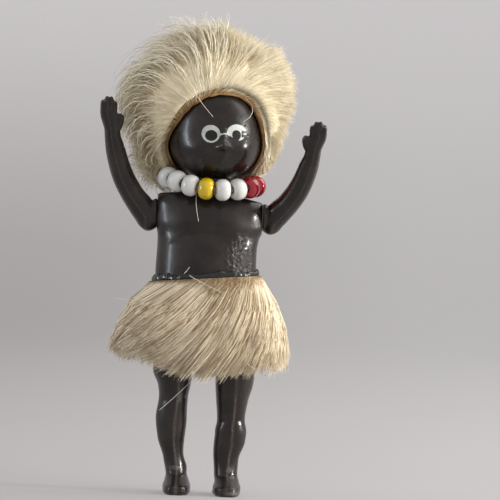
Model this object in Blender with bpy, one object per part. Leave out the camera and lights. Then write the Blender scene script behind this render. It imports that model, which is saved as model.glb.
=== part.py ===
"""A small moulded plastic souvenir doll with raised arms, a fur headdress, a bead necklace and a fur skirt.

It stands on its own feet, faces -Y and has +Z up. Lengths are in metres.
"""

import bpy
import bmesh
from math import ceil, cos, exp, pi, radians, sin
from mathutils import Vector
from mathutils.bvhtree import BVHTree

MM = 0.001

# Sizes that can be set by themselves
DOLL_HEIGHT = 105.5 * MM  # the plastic figure, from sole to crown
SEAT_GAP = 0.3 * MM  # between two pieces that touch
HIDE_THICKNESS = 1.2 * MM  # the skin that the fur grows on
HEADDRESS_HAIR = 12.6 * MM  # fur standing out of the hide, over the crown
SKIRT_HAIR = 24.5 * MM  # fur hanging from the waist
SKIRT_FLARE = 8.4 * MM  # how far the hem stands out past the waist
SKIRT_WALL = 4.2 * MM  # how thick the fur is at the hem
BEAD_DIAMETER = 5.5 * MM
BEAD_LENGTH = 3.9 * MM
BEAD_BORE = 1.6 * MM
BEAD_SLACK = 0.15 * MM  # of thread between two beads, at the least
THREAD_DIAMETER = 0.6 * MM

# The figure's own shape is written in units that make it 105.5 tall
FIGURE_UNITS = 105.5
U = DOLL_HEIGHT / FIGURE_UNITS

# Head
HEAD_RADIUS = 11.7 * U
HEAD_ABOVE = 17.0 * U  # from the cheeks to the crown
HEAD_BELOW = 10.0 * U  # from the cheeks to the chin
HEAD_CENTRE = Vector((0.0, 0.0, DOLL_HEIGHT - HEAD_ABOVE))
HEAD_TURN = radians(11)  # towards the doll's left
HEAD_LEAN = radians(-2)
HEAD_SIDES = 26
HEAD_RINGS = 16

# Relief of the face: across, up from the cheeks, half width, half height, how far it stands out
FACE = (
    (5.6, -2.6, 3.2, 2.8, 0.55),
    (-5.6, -2.6, 3.2, 2.8, 0.55),
    (0.0, 8.0, 7.0, 4.5, 0.35),
    (3.4, 2.6, 2.6, 2.0, -0.6),
    (-3.4, 2.6, 2.6, 2.0, -0.6),
    (3.35, 2.5, 1.8, 1.6, 0.5),
    (-3.35, 2.5, 1.8, 1.6, 0.5),
    (0.0, 1.2, 1.1, 2.0, 0.5),
    (0.0, -1.3, 1.5, 1.2, 1.6),
    (0.0, -3.9, 2.2, 1.1, 0.6),
    (0.0, -6.8, 2.6, 1.5, 0.75),
)

# Torso stations: height, half width, depth in front, depth behind, sway towards its left
TORSO = (
    (34.0, 2.6, 3.0, 3.2, 0.0),
    (37.0, 9.0, 6.4, 7.4, -0.1),
    (42.0, 12.2, 7.8, 8.8, -0.3),
    (49.0, 12.6, 8.8, 7.8, -0.5),
    (56.0, 12.6, 9.1, 6.8, -0.5),
    (61.5, 12.5, 8.8, 6.4, -0.4),
    (64.5, 12.7, 7.5, 6.4, -0.2),
    (68.0, 13.9, 7.4, 6.6, 0.0),
    (71.5, 13.9, 6.8, 6.4, 0.0),
    (74.2, 13.2, 5.4, 5.8, 0.0),
    (75.0, 9.0, 4.8, 5.0, 0.0),
    (76.2, 5.0, 4.3, 4.4, 0.0),
    (86.0, 4.5, 4.0, 4.0, 0.0),
)
TORSO_SIDES = 28
TORSO_RINGS = 17
TORSO_SHIFT = -0.5 * U  # the body stands a little to its right of the feet
SHOULDER_HALF_WIDTH = 13.2 * U
SHOULDER_LEAN = 0.06  # the shoulders' fall towards the doll's left
LEAN_FROM = 60.0 * U  # the body leans between these heights
LEAN_TO = 70.0 * U
CROTCH_HEIGHT = 36.5 * U
CROTCH_HALF_WIDTH = 1.6 * U
HIP_SLOPE = radians(52)  # of the flat where a leg meets the body

# Stations of a leg: height, distance from the middle, half width, depth in front, depth behind, squareness
FOOT = (
    (0.0, 6.3, 3.0, 8.2, 3.9, 2.9),
    (0.6, 6.3, 3.45, 8.9, 4.3, 2.9),
    (1.9, 6.3, 3.5, 8.7, 4.5, 2.8),
    (3.2, 6.3, 3.1, 6.6, 4.3, 2.4),
)
THIGH = (
    (31.0, 7.8, 4.95, 5.8, 6.2, 2.0),
    (38.0, 7.7, 4.9, 6.3, 6.9, 2.0),
    (50.0, 6.6, 4.9, 5.6, 5.4, 2.0),
)
# Between foot and thigh the two legs differ in where they bend
LEG = {
    "right_leg": (
        *FOOT,
        (5.2, 6.5, 2.6, 3.6, 3.4, 2.1),
        (9.0, 7.2, 2.6, 2.9, 3.2, 2.0),
        (13.9, 7.9, 3.4, 3.4, 4.0, 2.0),
        (18.9, 7.95, 3.9, 3.8, 4.4, 2.0),
        (24.0, 7.5, 3.65, 4.2, 4.2, 2.0),
        (27.0, 7.35, 4.05, 4.9, 4.9, 2.0),
        *THIGH,
    ),
    "left_leg": (
        *FOOT,
        (5.2, 6.0, 2.95, 3.6, 3.4, 2.1),
        (8.9, 6.0, 3.15, 3.0, 3.2, 2.0),
        (13.4, 6.8, 3.9, 3.5, 4.1, 2.0),
        (16.0, 7.05, 3.95, 3.8, 4.3, 2.0),
        (18.9, 7.05, 3.5, 3.7, 3.9, 2.0),
        (24.0, 7.25, 4.05, 4.8, 4.7, 2.0),
        (28.0, 7.7, 4.75, 5.4, 5.6, 2.0),
        *THIGH,
    ),
}
LEG_SIDES = 20
LEG_RINGS = 19
STANCE = 3.0 * U  # how far behind the body's middle the ankles stand, to carry the fur
STANCE_HEIGHT = 31.0 * U  # above it a leg is straight

# Arm stations from the middle of the shoulder's flat: out, up, half width, half thickness
ARM = (
    (1.8, -4.0, 0.9, 1.0),
    (1.8, -3.1, 2.0, 2.2),
    (2.2, -0.6, 3.0, 2.8),
    (3.7, 2.0, 3.15, 2.9),
    (5.7, 4.6, 2.9, 2.8),
    (8.3, 9.2, 2.75, 2.6),
    (9.6, 12.7, 2.6, 2.4),
    (10.55, 16.2, 2.45, 2.1),
    (11.3, 19.4, 2.05, 1.7),
    (11.6, 21.7, 1.95, 1.5),
    (12.15, 24.1, 2.1, 1.35),
    (12.7, 26.5, 2.15, 1.2),
    (12.9, 28.4, 1.8, 1.0),
    (12.8, 29.6, 0.8, 0.6),
)
ARM_SIDES = 14
ARM_RINGS = 19
ARM_HEIGHT = 69.6 * U
ARM_SWING = {"right_arm": radians(13), "left_arm": radians(36)}  # forward, about the line of the shoulders
THUMB = ((10.9, 20.4, 0.9, 0.8), (9.9, 22.6, 1.05, 0.95), (9.5, 24.4, 0.9, 0.85), (9.6, 25.4, 0.45, 0.45))
THUMB_SIDES = 8
THUMB_RINGS = 5

# Necklace, with its beads counted from the middle of the breast towards the doll's left
SHOULDER_TOP = 75.0 * U
NECKLACE_HALF_WIDTH = 11.2 * U
NECKLACE_HALF_DEPTH = 9.35 * U
NECKLACE_Y = 0.7 * U
NECKLACE_SIDES = SHOULDER_TOP + 0.7 * U + BEAD_DIAMETER / 2  # height of the thread over the shoulders
NECKLACE_HANG = 2.1 * U  # how much lower it is in front
NECKLACE_LEAN = 0.075
BEAD_COLOURS = "wwrrwwywwrwwwwwy"
FIRST_BEAD = 0.75  # how far from the middle of the breast, in spaces between beads
BEAD_SIDES = 9

# The face's opening in the headdress: direction round the head, and angle from the back of the head
OPENING = (
    (-90, 54), (-60, 72), (-42, 90), (-22, 99), (-6, 108), (11, 115), (28, 121), (46, 130),
    (62, 137), (82, 143), (104, 146), (129, 146), (151, 142), (170, 136), (184, 127), (195, 115),
    (207, 104), (222, 98), (238, 80),
)
# The headdress's outline: direction round the head, and share of the hair's length
OUTLINE = (
    (-90, 0.2), (-60, 0.22), (-18, 0.3), (8, 0.5), (20, 0.68), (42, 0.9), (60, 0.97), (84, 0.92),
    (107, 0.97), (128, 1.0), (150, 1.09), (168, 0.92), (189, 0.68), (207, 0.54), (225, 0.55),
    (240, 0.4), (250, 0.25),
)
HEADDRESS_CENTRE = Vector((0.0, 0.0, DOLL_HEIGHT - 13.0 * U))
HEADDRESS_RIM = radians(80)  # the widest part, measured from the back of the head
RIM_SHARE = 0.72  # or this share of the way to the hide's edge, where that is nearer
HEADDRESS_BACK = 0.66  # the hair's length behind the head, as a share of its length on top
HEADDRESS_SIDES = 60
HEADDRESS_RINGS = 8
HEADDRESS_LOCKS = 15
LINING_RINGS = 3
LINING_DEPTH = 0.8  # the hide starts this far out inside the head, before the head is cut out of it

SKIRT_TOP = 54.3 * U
SKIRT_LEAN = 0.085  # the waist's rise towards the doll's left
SKIRT_SWEEP = radians(20)  # the hair lies over towards the doll's right
SKIRT_SHIFT = -0.9 * U  # and its hem with it
SKIRT_DEPTH = 0.62  # the flare in front and behind, as a share of the flare at the sides
SKIRT_SIDES = 48
SKIRT_RINGS = 8
SKIRT_LINING_RINGS = 6
WALL_FULL = 0.6  # how far down the fur has its full thickness
# The skirt's hem: direction round the body, and share of the hair's length that it hangs down
HEM = ((-90, 1.0), (-45, 0.98), (0, 0.96), (90, 0.94), (150, 0.82), (180, 0.74), (225, 0.84), (250, 0.96))
SKIRT_LOCKS = 16
LOCK_DEPTH = 0.055


def keyed(keys, at):
    """The values at a place between keys, on a smooth curve through all of them."""
    places = [key[0] for key in keys]
    if at <= places[0]:
        return keys[0][1:]
    if at >= places[-1]:
        return keys[-1][1:]
    i = max(k for k, place in enumerate(places) if place <= at)
    step = places[i + 1] - places[i]
    t = (at - places[i]) / step

    def slope(k, column):
        if k in (0, len(keys) - 1):
            return 0.0
        before = (keys[k][column] - keys[k - 1][column]) / (places[k] - places[k - 1])
        after = (keys[k + 1][column] - keys[k][column]) / (places[k + 1] - places[k])
        return 2 * before * after / (before + after) if before * after > 0 else 0.0

    found = []
    for column in range(1, len(keys[0])):
        start, end = keys[i][column], keys[i + 1][column]
        found.append(
            start * (1 + 2 * t) * (1 - t) ** 2
            + slope(i, column) * step * t * (1 - t) ** 2
            + end * t * t * (3 - 2 * t)
            + slope(i + 1, column) * step * t * t * (t - 1)
        )
    return found


def keyed_round(keys, turn):
    """The value in a direction, from keys in degrees that start at -90 and go once round."""
    degrees = (turn * 180 / pi + 90) % 360 - 90
    after = (keys[0][0] + 360, keys[0][1])
    return keyed((*keys, after), degrees)[0]


def eased(t):
    t = min(1.0, max(0.0, t))
    return t * t * (3 - 2 * t)


def lock(turn, count):
    """Uneven rounded ridges with sharp furrows between them, from -1 to 1, that go once round."""
    turns = turn * count / (2 * pi) + 0.3 * sin(2 * turn) + 0.2 * sin(5 * turn + 1)
    return (1 - 2 * abs(cos(pi * turns)) ** 1.6) * (0.75 + 0.25 * sin(3 * turn + 2))


def signed_power(value, power):
    return abs(value) ** power * (1 if value >= 0 else -1)


def material(name, colour, roughness):
    made = bpy.data.materials.new(name)
    made.use_nodes = True
    shader = made.node_tree.nodes["Principled BSDF"]
    shader.inputs["Base Color"].default_value = (*colour, 1.0)
    shader.inputs["Roughness"].default_value = roughness
    shader.inputs["Metallic"].default_value = 0.0
    made.diffuse_color = (*colour, 1.0)
    return made


def skinned(name, rings, look, closed=False):
    """An object whose surface joins the rings in turn. A ring of one point is a pole."""
    mesh = bmesh.new()
    loops = [[mesh.verts.new(point) for point in ring] for ring in rings]
    pairs = list(zip(loops, loops[1:]))
    if closed:
        pairs.append((loops[-1], loops[0]))
    for first, second in pairs:
        sides = max(len(first), len(second))
        for k in range(sides):
            n = (k + 1) % sides
            corners = [
                first[k % len(first)], first[n % len(first)],
                second[n % len(second)], second[k % len(second)],
            ]
            mesh.faces.new(list(dict.fromkeys(corners)))
    if not closed:
        for end in (loops[0], loops[-1]):
            if len(end) > 1:
                mesh.faces.new(end)
    bmesh.ops.recalc_face_normals(mesh, faces=mesh.faces)
    data = bpy.data.meshes.new(name)
    mesh.to_mesh(data)
    mesh.free()
    data.shade_smooth()
    data.set_sharp_from_angle(angle=radians(40))
    data.materials.append(look)
    made = bpy.data.objects.new(name, data)
    bpy.context.scene.collection.objects.link(made)
    return made


def cut_flat(made, point, away):
    """Takes off what lies past a plane, and closes the cut with one flat face."""
    mesh = bmesh.new()
    mesh.from_mesh(made.data)
    cut = bmesh.ops.bisect_plane(
        mesh,
        geom=[*mesh.verts, *mesh.edges, *mesh.faces],
        plane_co=point,
        plane_no=away,
        clear_outer=True,
    )
    edges = [part for part in cut["geom_cut"] if isinstance(part, bmesh.types.BMEdge)]
    bmesh.ops.contextual_create(mesh, geom=edges)
    bmesh.ops.recalc_face_normals(mesh, faces=mesh.faces)
    mesh.to_mesh(made.data)
    mesh.free()
    made.data.shade_smooth()
    made.data.set_sharp_from_angle(angle=radians(40))


def combine(target, tool, operation):
    """Adds a tool to a solid, or cuts it away. The tool itself isn't part of the doll."""
    tool.hide_render = True
    tool.display_type = "WIRE"
    modifier = target.modifiers.new(operation.title(), "BOOLEAN")
    modifier.object = tool
    modifier.operation = operation
    modifier.solver = "EXACT"


def oval(centre, half_width, front, back, sides, squareness=2.0):
    """A level ring with its own depth in front and behind. Past 2, squareness fills out its corners."""
    ring = []
    for k in range(sides):
        turn = 2 * pi * k / sides
        depth = front if sin(turn) < 0 else back
        across = half_width * signed_power(cos(turn), 2 / squareness)
        along = depth * signed_power(sin(turn), 2 / squareness)
        ring.append(centre + Vector((across, along, 0.0)))
    return ring


def stations(keys, count):
    """Places spread evenly over the keys, each with its values."""
    first, last = keys[0][0], keys[-1][0]
    places = [first + (last - first) * k / (count - 1) for k in range(count)]
    return [(place, *keyed(keys, place)) for place in places]


def face_relief(x, z):
    found = 0.0
    for across, up, half_width, half_height, lift in FACE:
        found += lift * exp(-((x / U - across) / half_width) ** 2 - ((z / U - up) / half_height) ** 2)
    return found * U


def head_point(polar, turn, grow):
    """A point of the head, by its angle from the tip of the face and the way round the face."""
    half_height = HEAD_ABOVE if sin(turn) > 0 else HEAD_BELOW
    point = Vector((
        (HEAD_RADIUS + grow) * sin(polar) * cos(turn),
        -(HEAD_RADIUS + grow) * cos(polar),
        (half_height + grow) * sin(polar) * sin(turn),
    ))
    if point.y < 0:
        point.y -= face_relief(point.x, point.z) * min(1.0, -2.5 * point.y / HEAD_RADIUS)
    return point


def head(name, look, grow=0.0):
    """The head, or a form larger than it all round by a clearance."""
    rings = [[head_point(0.0, 0.0, grow)]]
    for k in range(1, HEAD_RINGS):
        polar = pi * (k / HEAD_RINGS) ** 1.25
        rings.append([head_point(polar, 2 * pi * s / HEAD_SIDES, grow) for s in range(HEAD_SIDES)])
    rings.append([head_point(pi, 0.0, grow)])
    made = skinned(name, rings, look)
    made.location = HEAD_CENTRE
    made.rotation_euler = (0.0, HEAD_LEAN, HEAD_TURN)
    return made


def hip_flat(side, clearance):
    """A point and the outward direction of the flat where a leg meets the body."""
    along = Vector((side * cos(HIP_SLOPE), 0.0, sin(HIP_SLOPE)))
    away = Vector((side * sin(HIP_SLOPE), 0.0, -cos(HIP_SLOPE)))
    start = Vector((TORSO_SHIFT + side * CROTCH_HALF_WIDTH, 0.0, CROTCH_HEIGHT))
    return start + along * CROTCH_HALF_WIDTH + away * clearance, away


def torso(look, head_seat):
    rings = []
    for height, half_width, front, back, sway in stations(TORSO, TORSO_RINGS):
        centre = Vector((TORSO_SHIFT + sway * U, 0.0, height * U))
        ring = oval(centre, half_width * U, front * U, back * U, TORSO_SIDES)
        lean = SHOULDER_LEAN * eased((height * U - LEAN_FROM) / (LEAN_TO - LEAN_FROM))
        rings.append([point - Vector((0.0, 0.0, lean * point.x)) for point in ring])
    made = skinned("torso", rings, look)
    for side in (-1, 1):
        cut_flat(made, (TORSO_SHIFT + side * SHOULDER_HALF_WIDTH, 0.0, 0.0), (side, 0.0, 0.0))
        cut_flat(made, *hip_flat(side, 0.0))
    combine(made, head_seat, "DIFFERENCE")
    return made


def leg(name, side, look):
    rings = []
    for height, spread, half_width, front, back, squareness in stations(LEG[name], LEG_RINGS):
        rise = min(1.0, height * U / STANCE_HEIGHT)
        centre = Vector((side * spread * U + TORSO_SHIFT * rise, STANCE * (1 - rise), height * U))
        rings.append(oval(centre, half_width * U, front * U, back * U, LEG_SIDES, squareness))
    made = skinned(name, rings, look)
    point, away = hip_flat(side, SEAT_GAP)
    cut_flat(made, point, -away)
    return made


def limb_rings(side, keys, sides, count):
    """Rings across a path in the plane of the shoulders, evenly along it."""
    numbered = [(k, *key) for k, key in enumerate(keys)]
    places = stations(numbered, count)
    rings = []
    for k, (_, out, up, half_width, half_thickness) in enumerate(places):
        before = places[max(0, k - 1)]
        after = places[min(count - 1, k + 1)]
        along = Vector((side * (after[1] - before[1]), 0.0, after[2] - before[2])).normalized()
        across = Vector((along.z, 0.0, -along.x))
        centre = Vector((side * out * U, 0.0, up * U))
        rings.append([
            centre
            + across * half_width * U * cos(2 * pi * s / sides)
            + Vector((0.0, half_thickness * U * sin(2 * pi * s / sides), 0.0))
            for s in range(sides)
        ])
    return rings


def arm(name, side, look):
    """An arm that ends in a flat against the body, with its hand turned forward."""
    made = skinned(name, limb_rings(side, ARM, ARM_SIDES, ARM_RINGS), look)
    cut_flat(made, (0.0, 0.0, 0.0), (-side, 0.0, 0.0))
    thumb = skinned(name + "_thumb", limb_rings(side, THUMB, THUMB_SIDES, THUMB_RINGS), look)
    combine(made, thumb, "UNION")
    for piece in (made, thumb):
        piece.location = (TORSO_SHIFT + side * (SHOULDER_HALF_WIDTH + SEAT_GAP), 0.0, ARM_HEIGHT)
        piece.rotation_euler = (ARM_SWING[name], 0.0, 0.0)
    return made, thumb


def necklace_point(turn):
    """A point of the thread. Turn 0 is the middle of the breast, and it grows towards the doll's left."""
    x = NECKLACE_HALF_WIDTH * sin(turn)
    hang = NECKLACE_HANG * max(0.0, cos(turn)) ** 2
    return Vector((
        TORSO_SHIFT + x,
        NECKLACE_Y - NECKLACE_HALF_DEPTH * cos(turn),
        NECKLACE_SIDES - hang - NECKLACE_LEAN * x,
    ))


def necklace_route():
    """Closely spaced points of the thread, and how far along it each is."""
    steps = 720
    points = [necklace_point(2 * pi * k / steps) for k in range(steps + 1)]
    reached = [0.0]
    for start, end in zip(points, points[1:]):
        reached.append(reached[-1] + (end - start).length)
    return points, reached


def necklace_places(count, first):
    """Points of the thread that are equally far apart along it, each with its direction."""
    points, reached = necklace_route()
    places = []
    for k in range(count):
        goal = (first + k) / count % 1.0 * reached[-1]
        i = max(n for n in range(len(points) - 1) if reached[n] <= goal)
        share = (goal - reached[i]) / (reached[i + 1] - reached[i])
        places.append((points[i].lerp(points[i + 1], share), (points[i + 1] - points[i]).normalized()))
    return places


def bead_count():
    """As many beads as the thread has room for."""
    return int(necklace_route()[1][-1] / (BEAD_LENGTH + BEAD_SLACK))


def bead_mesh():
    """A bead along Z, round in profile, with its bore open at both ends."""
    bore = BEAD_BORE / 2
    wall = BEAD_DIAMETER / 2 - bore
    profile = [(bore, -0.42 * BEAD_LENGTH), (bore + 0.5 * wall, -0.38 * BEAD_LENGTH)]
    profile += [(bore + wall, -0.13 * BEAD_LENGTH)]
    profile += [(radius, -along) for radius, along in reversed(profile)]
    return [
        [Vector((radius * cos(2 * pi * s / BEAD_SIDES), radius * sin(2 * pi * s / BEAD_SIDES), along))
         for s in range(BEAD_SIDES)]
        for radius, along in profile
    ]


def beads(looks):
    rings = bead_mesh()
    made = []
    for k, (point, along) in enumerate(necklace_places(bead_count(), FIRST_BEAD)):
        colour = BEAD_COLOURS[k % len(BEAD_COLOURS)]
        bead = skinned(f"bead_{k + 1:02d}", rings, looks[colour], closed=True)
        bead.location = point
        bead.rotation_euler = along.to_track_quat("Z", "Y").to_euler()
        made.append(bead)
    return made


def thread(points, look):
    """The thread that the beads are on, tied in a closed loop."""
    data = bpy.data.curves.new("necklace_thread", "CURVE")
    data.dimensions = "3D"
    data.bevel_depth = THREAD_DIAMETER / 2
    data.bevel_resolution = 2
    spline = data.splines.new("POLY")
    spline.points.add(len(points) - 1)
    for place, point in zip(spline.points, points):
        place.co = (*point, 1.0)
    spline.use_cyclic_u = True
    spline.use_smooth = True
    data.materials.append(look)
    made = bpy.data.objects.new("necklace_thread", data)
    bpy.context.scene.collection.objects.link(made)
    return made


def beads_room(points, look):
    """The space that the string of beads takes up, with a clearance all round."""
    radius = BEAD_DIAMETER / 2 + SEAT_GAP
    sides = 12
    rings = []
    for k, point in enumerate(points):
        along = (points[(k + 1) % len(points)] - points[k - 1]).normalized()
        across = along.cross(Vector((0.0, 0.0, 1.0))).normalized()
        upward = across.cross(along)
        rings.append([
            point + across * radius * cos(2 * pi * s / sides) + upward * radius * sin(2 * pi * s / sides)
            for s in range(sides)
        ])
    return skinned("beads_room", rings, look, closed=True)


def headdress(look, head_seat, room):
    """Hide that fits over the head, with fur standing out of it, thickest round the crown."""
    shell = head_seat.data
    seat = head_seat.matrix_basis
    points = [seat @ v.co for v in shell.vertices]
    tree = BVHTree.FromPolygons(points, [list(f.vertices) for f in shell.polygons])

    def seat_radius(polar, turn):
        way = direction(polar, turn)
        return (tree.ray_cast(HEADDRESS_CENTRE, way)[0] - HEADDRESS_CENTRE).length

    def direction(polar, turn):
        return Vector((sin(polar) * cos(turn), cos(polar), sin(polar) * sin(turn)))

    def fur(polar, turn, edge):
        share = keyed_round(OUTLINE, turn)
        ridges = lock(turn, HEADDRESS_LOCKS)
        rim = min(HEADDRESS_RIM, edge * RIM_SHARE)
        bulge = max(0.0, sin(pi / 2 * min(1.0, (edge - polar) / (edge - rim)))) ** 0.75
        behind = eased(polar / rim)
        length = HEADDRESS_HAIR * (HEADDRESS_BACK * (1 - behind) + share * behind)
        return length * bulge * (1 + LOCK_DEPTH * ridges * behind)

    turns = [2 * pi * k / HEADDRESS_SIDES for k in range(HEADDRESS_SIDES)]
    edges = [radians(keyed_round(OPENING, turn)) for turn in turns]
    behind = direction(0, 0)
    back_of_fur = seat_radius(0, 0) + HIDE_THICKNESS + HEADDRESS_HAIR * HEADDRESS_BACK
    rings = [[HEADDRESS_CENTRE + behind * back_of_fur]]
    for k in range(1, HEADDRESS_RINGS + 1):
        ring = []
        for turn, edge in zip(turns, edges):
            polar = edge * (k / HEADDRESS_RINGS) ** 0.9
            radius = seat_radius(polar, turn) + HIDE_THICKNESS + fur(polar, turn, edge)
            ring.append(HEADDRESS_CENTRE + direction(polar, turn) * radius)
        rings.append(ring)
    for k in range(LINING_RINGS, 0, -1):
        ring = []
        for turn, edge in zip(turns, edges):
            polar = edge * k / LINING_RINGS
            ring.append(HEADDRESS_CENTRE + direction(polar, turn) * seat_radius(polar, turn) * LINING_DEPTH)
        rings.append(ring)
    rings.append([HEADDRESS_CENTRE + behind * seat_radius(0, 0) * LINING_DEPTH])
    made = skinned("fur_headdress", rings, look)
    combine(made, head_seat, "DIFFERENCE")
    combine(made, room, "DIFFERENCE")
    return made


def draped_over(turn, drop):
    """A point just off the body under the skirt. Cloth or fur hangs straight down from the widest place above."""
    half_width, front, back = (0.0, 0.0, 0.0)
    hang = SKIRT_HAIR * drop * keyed_round(HEM, turn)
    sway = keyed(TORSO, SKIRT_TOP / U)[3]
    steps = ceil(drop * SKIRT_RINGS)
    for k in range(steps + 1):
        height = SKIRT_TOP - hang * k / max(1, steps)
        here = keyed(TORSO, height / U)
        half_width, front, back = (max(a, b) for a, b in zip((half_width, front, back), here))
    depth = front if sin(turn) < 0 else back
    return Vector((
        TORSO_SHIFT + sway * U + (half_width * U + SEAT_GAP) * cos(turn),
        (depth * U + SEAT_GAP) * sin(turn),
        SKIRT_TOP - hang,
    ))


def hanging_fur(turn, drop, inside):
    """A point of the skirt, inside or outside, by how far it hangs down, from 0 to 1."""
    ridges = lock(turn, SKIRT_LOCKS)
    swept = turn + SKIRT_SWEEP * drop * min(0.0, sin(turn)) / 2
    flare = SKIRT_FLARE * (1 - (1 - drop) ** 2)
    flare *= SKIRT_DEPTH + (1 - SKIRT_DEPTH) * cos(turn) ** 2
    reach = flare + HIDE_THICKNESS * (1 - drop) + SKIRT_FLARE * 2 * LOCK_DEPTH * ridges * drop
    if inside:
        reach = max(0.0, flare - SKIRT_WALL * eased(drop / WALL_FULL))
    point = draped_over(turn, drop)
    point += Vector((cos(swept), sin(swept), 0.0)) * reach
    point.x += SKIRT_SHIFT * drop
    point.z += SKIRT_LEAN * point.x - SKIRT_HAIR * LOCK_DEPTH * ridges * drop ** 3
    return point


def skirt(look):
    """A strip of hide glued round the waist, with its fur hanging and standing out to the hem."""
    turns = [2 * pi * k / SKIRT_SIDES for k in range(SKIRT_SIDES)]
    rings = []
    for k in range(SKIRT_RINGS + 1):
        rings.append([hanging_fur(turn, k / SKIRT_RINGS, False) for turn in turns])
    for k in range(SKIRT_LINING_RINGS, -1, -1):
        rings.append([hanging_fur(turn, k / SKIRT_LINING_RINGS, True) for turn in turns])
    return skinned("fur_skirt", rings, look, closed=True)


def stand_at_origin(holder, pieces):
    """Moves the whole doll so that the middle of its base is at the origin."""
    bpy.context.view_layer.update()
    depsgraph = bpy.context.evaluated_depsgraph_get()
    corners = []
    for piece in pieces:
        evaluated = piece.evaluated_get(depsgraph)
        data = evaluated.to_mesh()
        corners += [evaluated.matrix_world @ v.co for v in data.vertices]
        evaluated.to_mesh_clear()
    low = [min(corner[axis] for corner in corners) for axis in range(3)]
    high = [max(corner[axis] for corner in corners) for axis in range(3)]
    holder.location = (-(low[0] + high[0]) / 2, -(low[1] + high[1]) / 2, -low[2])


def main():
    for old in list(bpy.data.objects):
        bpy.data.objects.remove(old)

    plastic = material("dark_plastic", (0.045, 0.037, 0.034), 0.32)
    fur = material("cream_fur", (0.62, 0.52, 0.34), 0.75)
    cotton = material("cotton", (0.7, 0.68, 0.62), 0.8)
    glass = {
        "w": material("white_glass", (0.76, 0.78, 0.74), 0.12),
        "y": material("yellow_glass", (0.72, 0.5, 0.01), 0.12),
        "r": material("red_glass", (0.5, 0.02, 0.05), 0.12),
    }

    head_seat = head("head_seat", plastic, SEAT_GAP)
    thread_points = [point for point, _ in necklace_places(2 * bead_count(), 2 * FIRST_BEAD)]
    room = beads_room(thread_points, cotton)
    right_arm, right_thumb = arm("right_arm", -1, plastic)
    left_arm, left_thumb = arm("left_arm", 1, plastic)
    pieces = [
        head("head", plastic),
        torso(plastic, head_seat),
        right_arm,
        left_arm,
        leg("right_leg", -1, plastic),
        leg("left_leg", 1, plastic),
        headdress(fur, head_seat, room),
        skirt(fur),
        thread(thread_points, cotton),
        *beads(glass),
    ]
    tools = [head_seat, room, right_thumb, left_thumb]

    holder = bpy.data.objects.new("doll", None)
    bpy.context.scene.collection.objects.link(holder)
    for piece in pieces + tools:
        piece.parent = holder
    stand_at_origin(holder, pieces)


main()
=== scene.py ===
from math import cos, exp, pi, radians, sin, sqrt

import bmesh
import bpy
from mathutils import Euler, Matrix, Vector, noise
from mathutils.bvhtree import BVHTree


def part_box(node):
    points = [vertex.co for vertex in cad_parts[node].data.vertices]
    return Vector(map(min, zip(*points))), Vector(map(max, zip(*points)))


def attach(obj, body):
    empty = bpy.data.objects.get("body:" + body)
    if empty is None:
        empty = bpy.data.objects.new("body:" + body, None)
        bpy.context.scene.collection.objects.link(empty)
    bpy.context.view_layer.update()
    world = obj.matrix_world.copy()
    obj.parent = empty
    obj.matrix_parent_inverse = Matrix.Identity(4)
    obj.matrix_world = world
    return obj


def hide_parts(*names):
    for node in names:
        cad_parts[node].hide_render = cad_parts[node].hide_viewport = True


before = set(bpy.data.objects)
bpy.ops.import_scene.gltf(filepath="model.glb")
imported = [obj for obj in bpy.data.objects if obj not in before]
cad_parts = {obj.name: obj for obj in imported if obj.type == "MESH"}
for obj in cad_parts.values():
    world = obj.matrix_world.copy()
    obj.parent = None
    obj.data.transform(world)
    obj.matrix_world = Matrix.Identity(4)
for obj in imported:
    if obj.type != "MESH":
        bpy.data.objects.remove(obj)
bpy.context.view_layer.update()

scene = bpy.context.scene
mm = 0.001
torsoLow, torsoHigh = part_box("torso")
figure = {"aside": 0.5, "front": 9.092}  # millimetres from the torso's middle, and behind its front
figureShift = Vector((
    (torsoLow[0] + torsoHigh[0]) / 2 + figure["aside"] * mm, torsoLow[1] + figure["front"] * mm, 0.0,
))


def place(x, y, z):  # a point of the figure, from millimetres
    return Vector((x, y, z)) * mm + figureShift


def clamp(value, low=0.0, high=1.0):
    return min(high, max(low, value))


def eased(t):
    t = clamp(t)
    return t * t * (3 - 2 * t)


def bump(distance, width):  # 1 in the middle, fading to 0
    return exp(-(distance / width) ** 2)


def turnsRound(count):  # so many directions once round, in radians
    return [2 * pi * k / count for k in range(count)]


def keyed(keys, at):  # the values between keys, on a smooth curve through all of them
    places = [key[0] for key in keys]
    if at <= places[0]:
        return keys[0][1:]
    if at >= places[-1]:
        return keys[-1][1:]
    i = max(k for k, reached in enumerate(places) if reached <= at)
    step = places[i + 1] - places[i]
    t = (at - places[i]) / step

    def slope(k, column):
        if k in (0, len(keys) - 1):
            return 0.0
        before = (keys[k][column] - keys[k - 1][column]) / (places[k] - places[k - 1])
        after = (keys[k + 1][column] - keys[k][column]) / (places[k + 1] - places[k])
        return 2 * before * after / (before + after) if before * after > 0 else 0.0

    found = []
    for column in range(1, len(keys[0])):
        found.append(
            keys[i][column] * (1 + 2 * t) * (1 - t) ** 2
            + slope(i, column) * step * t * (1 - t) ** 2
            + keys[i + 1][column] * t * t * (3 - 2 * t)
            + slope(i + 1, column) * step * t * t * (t - 1)
        )
    return found


def keyedRound(keys, turn):  # a value by direction, from keys in degrees that go once round
    return keyed((*keys, (keys[0][0] + 360, keys[0][1])), degreesRound(turn))[0]


def degreesRound(turn):  # from -90 to 270
    return (turn * 180 / pi + 90) % 360 - 90


def signedPower(value, power):
    return abs(value) ** power * (1 if value >= 0 else -1)


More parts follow.
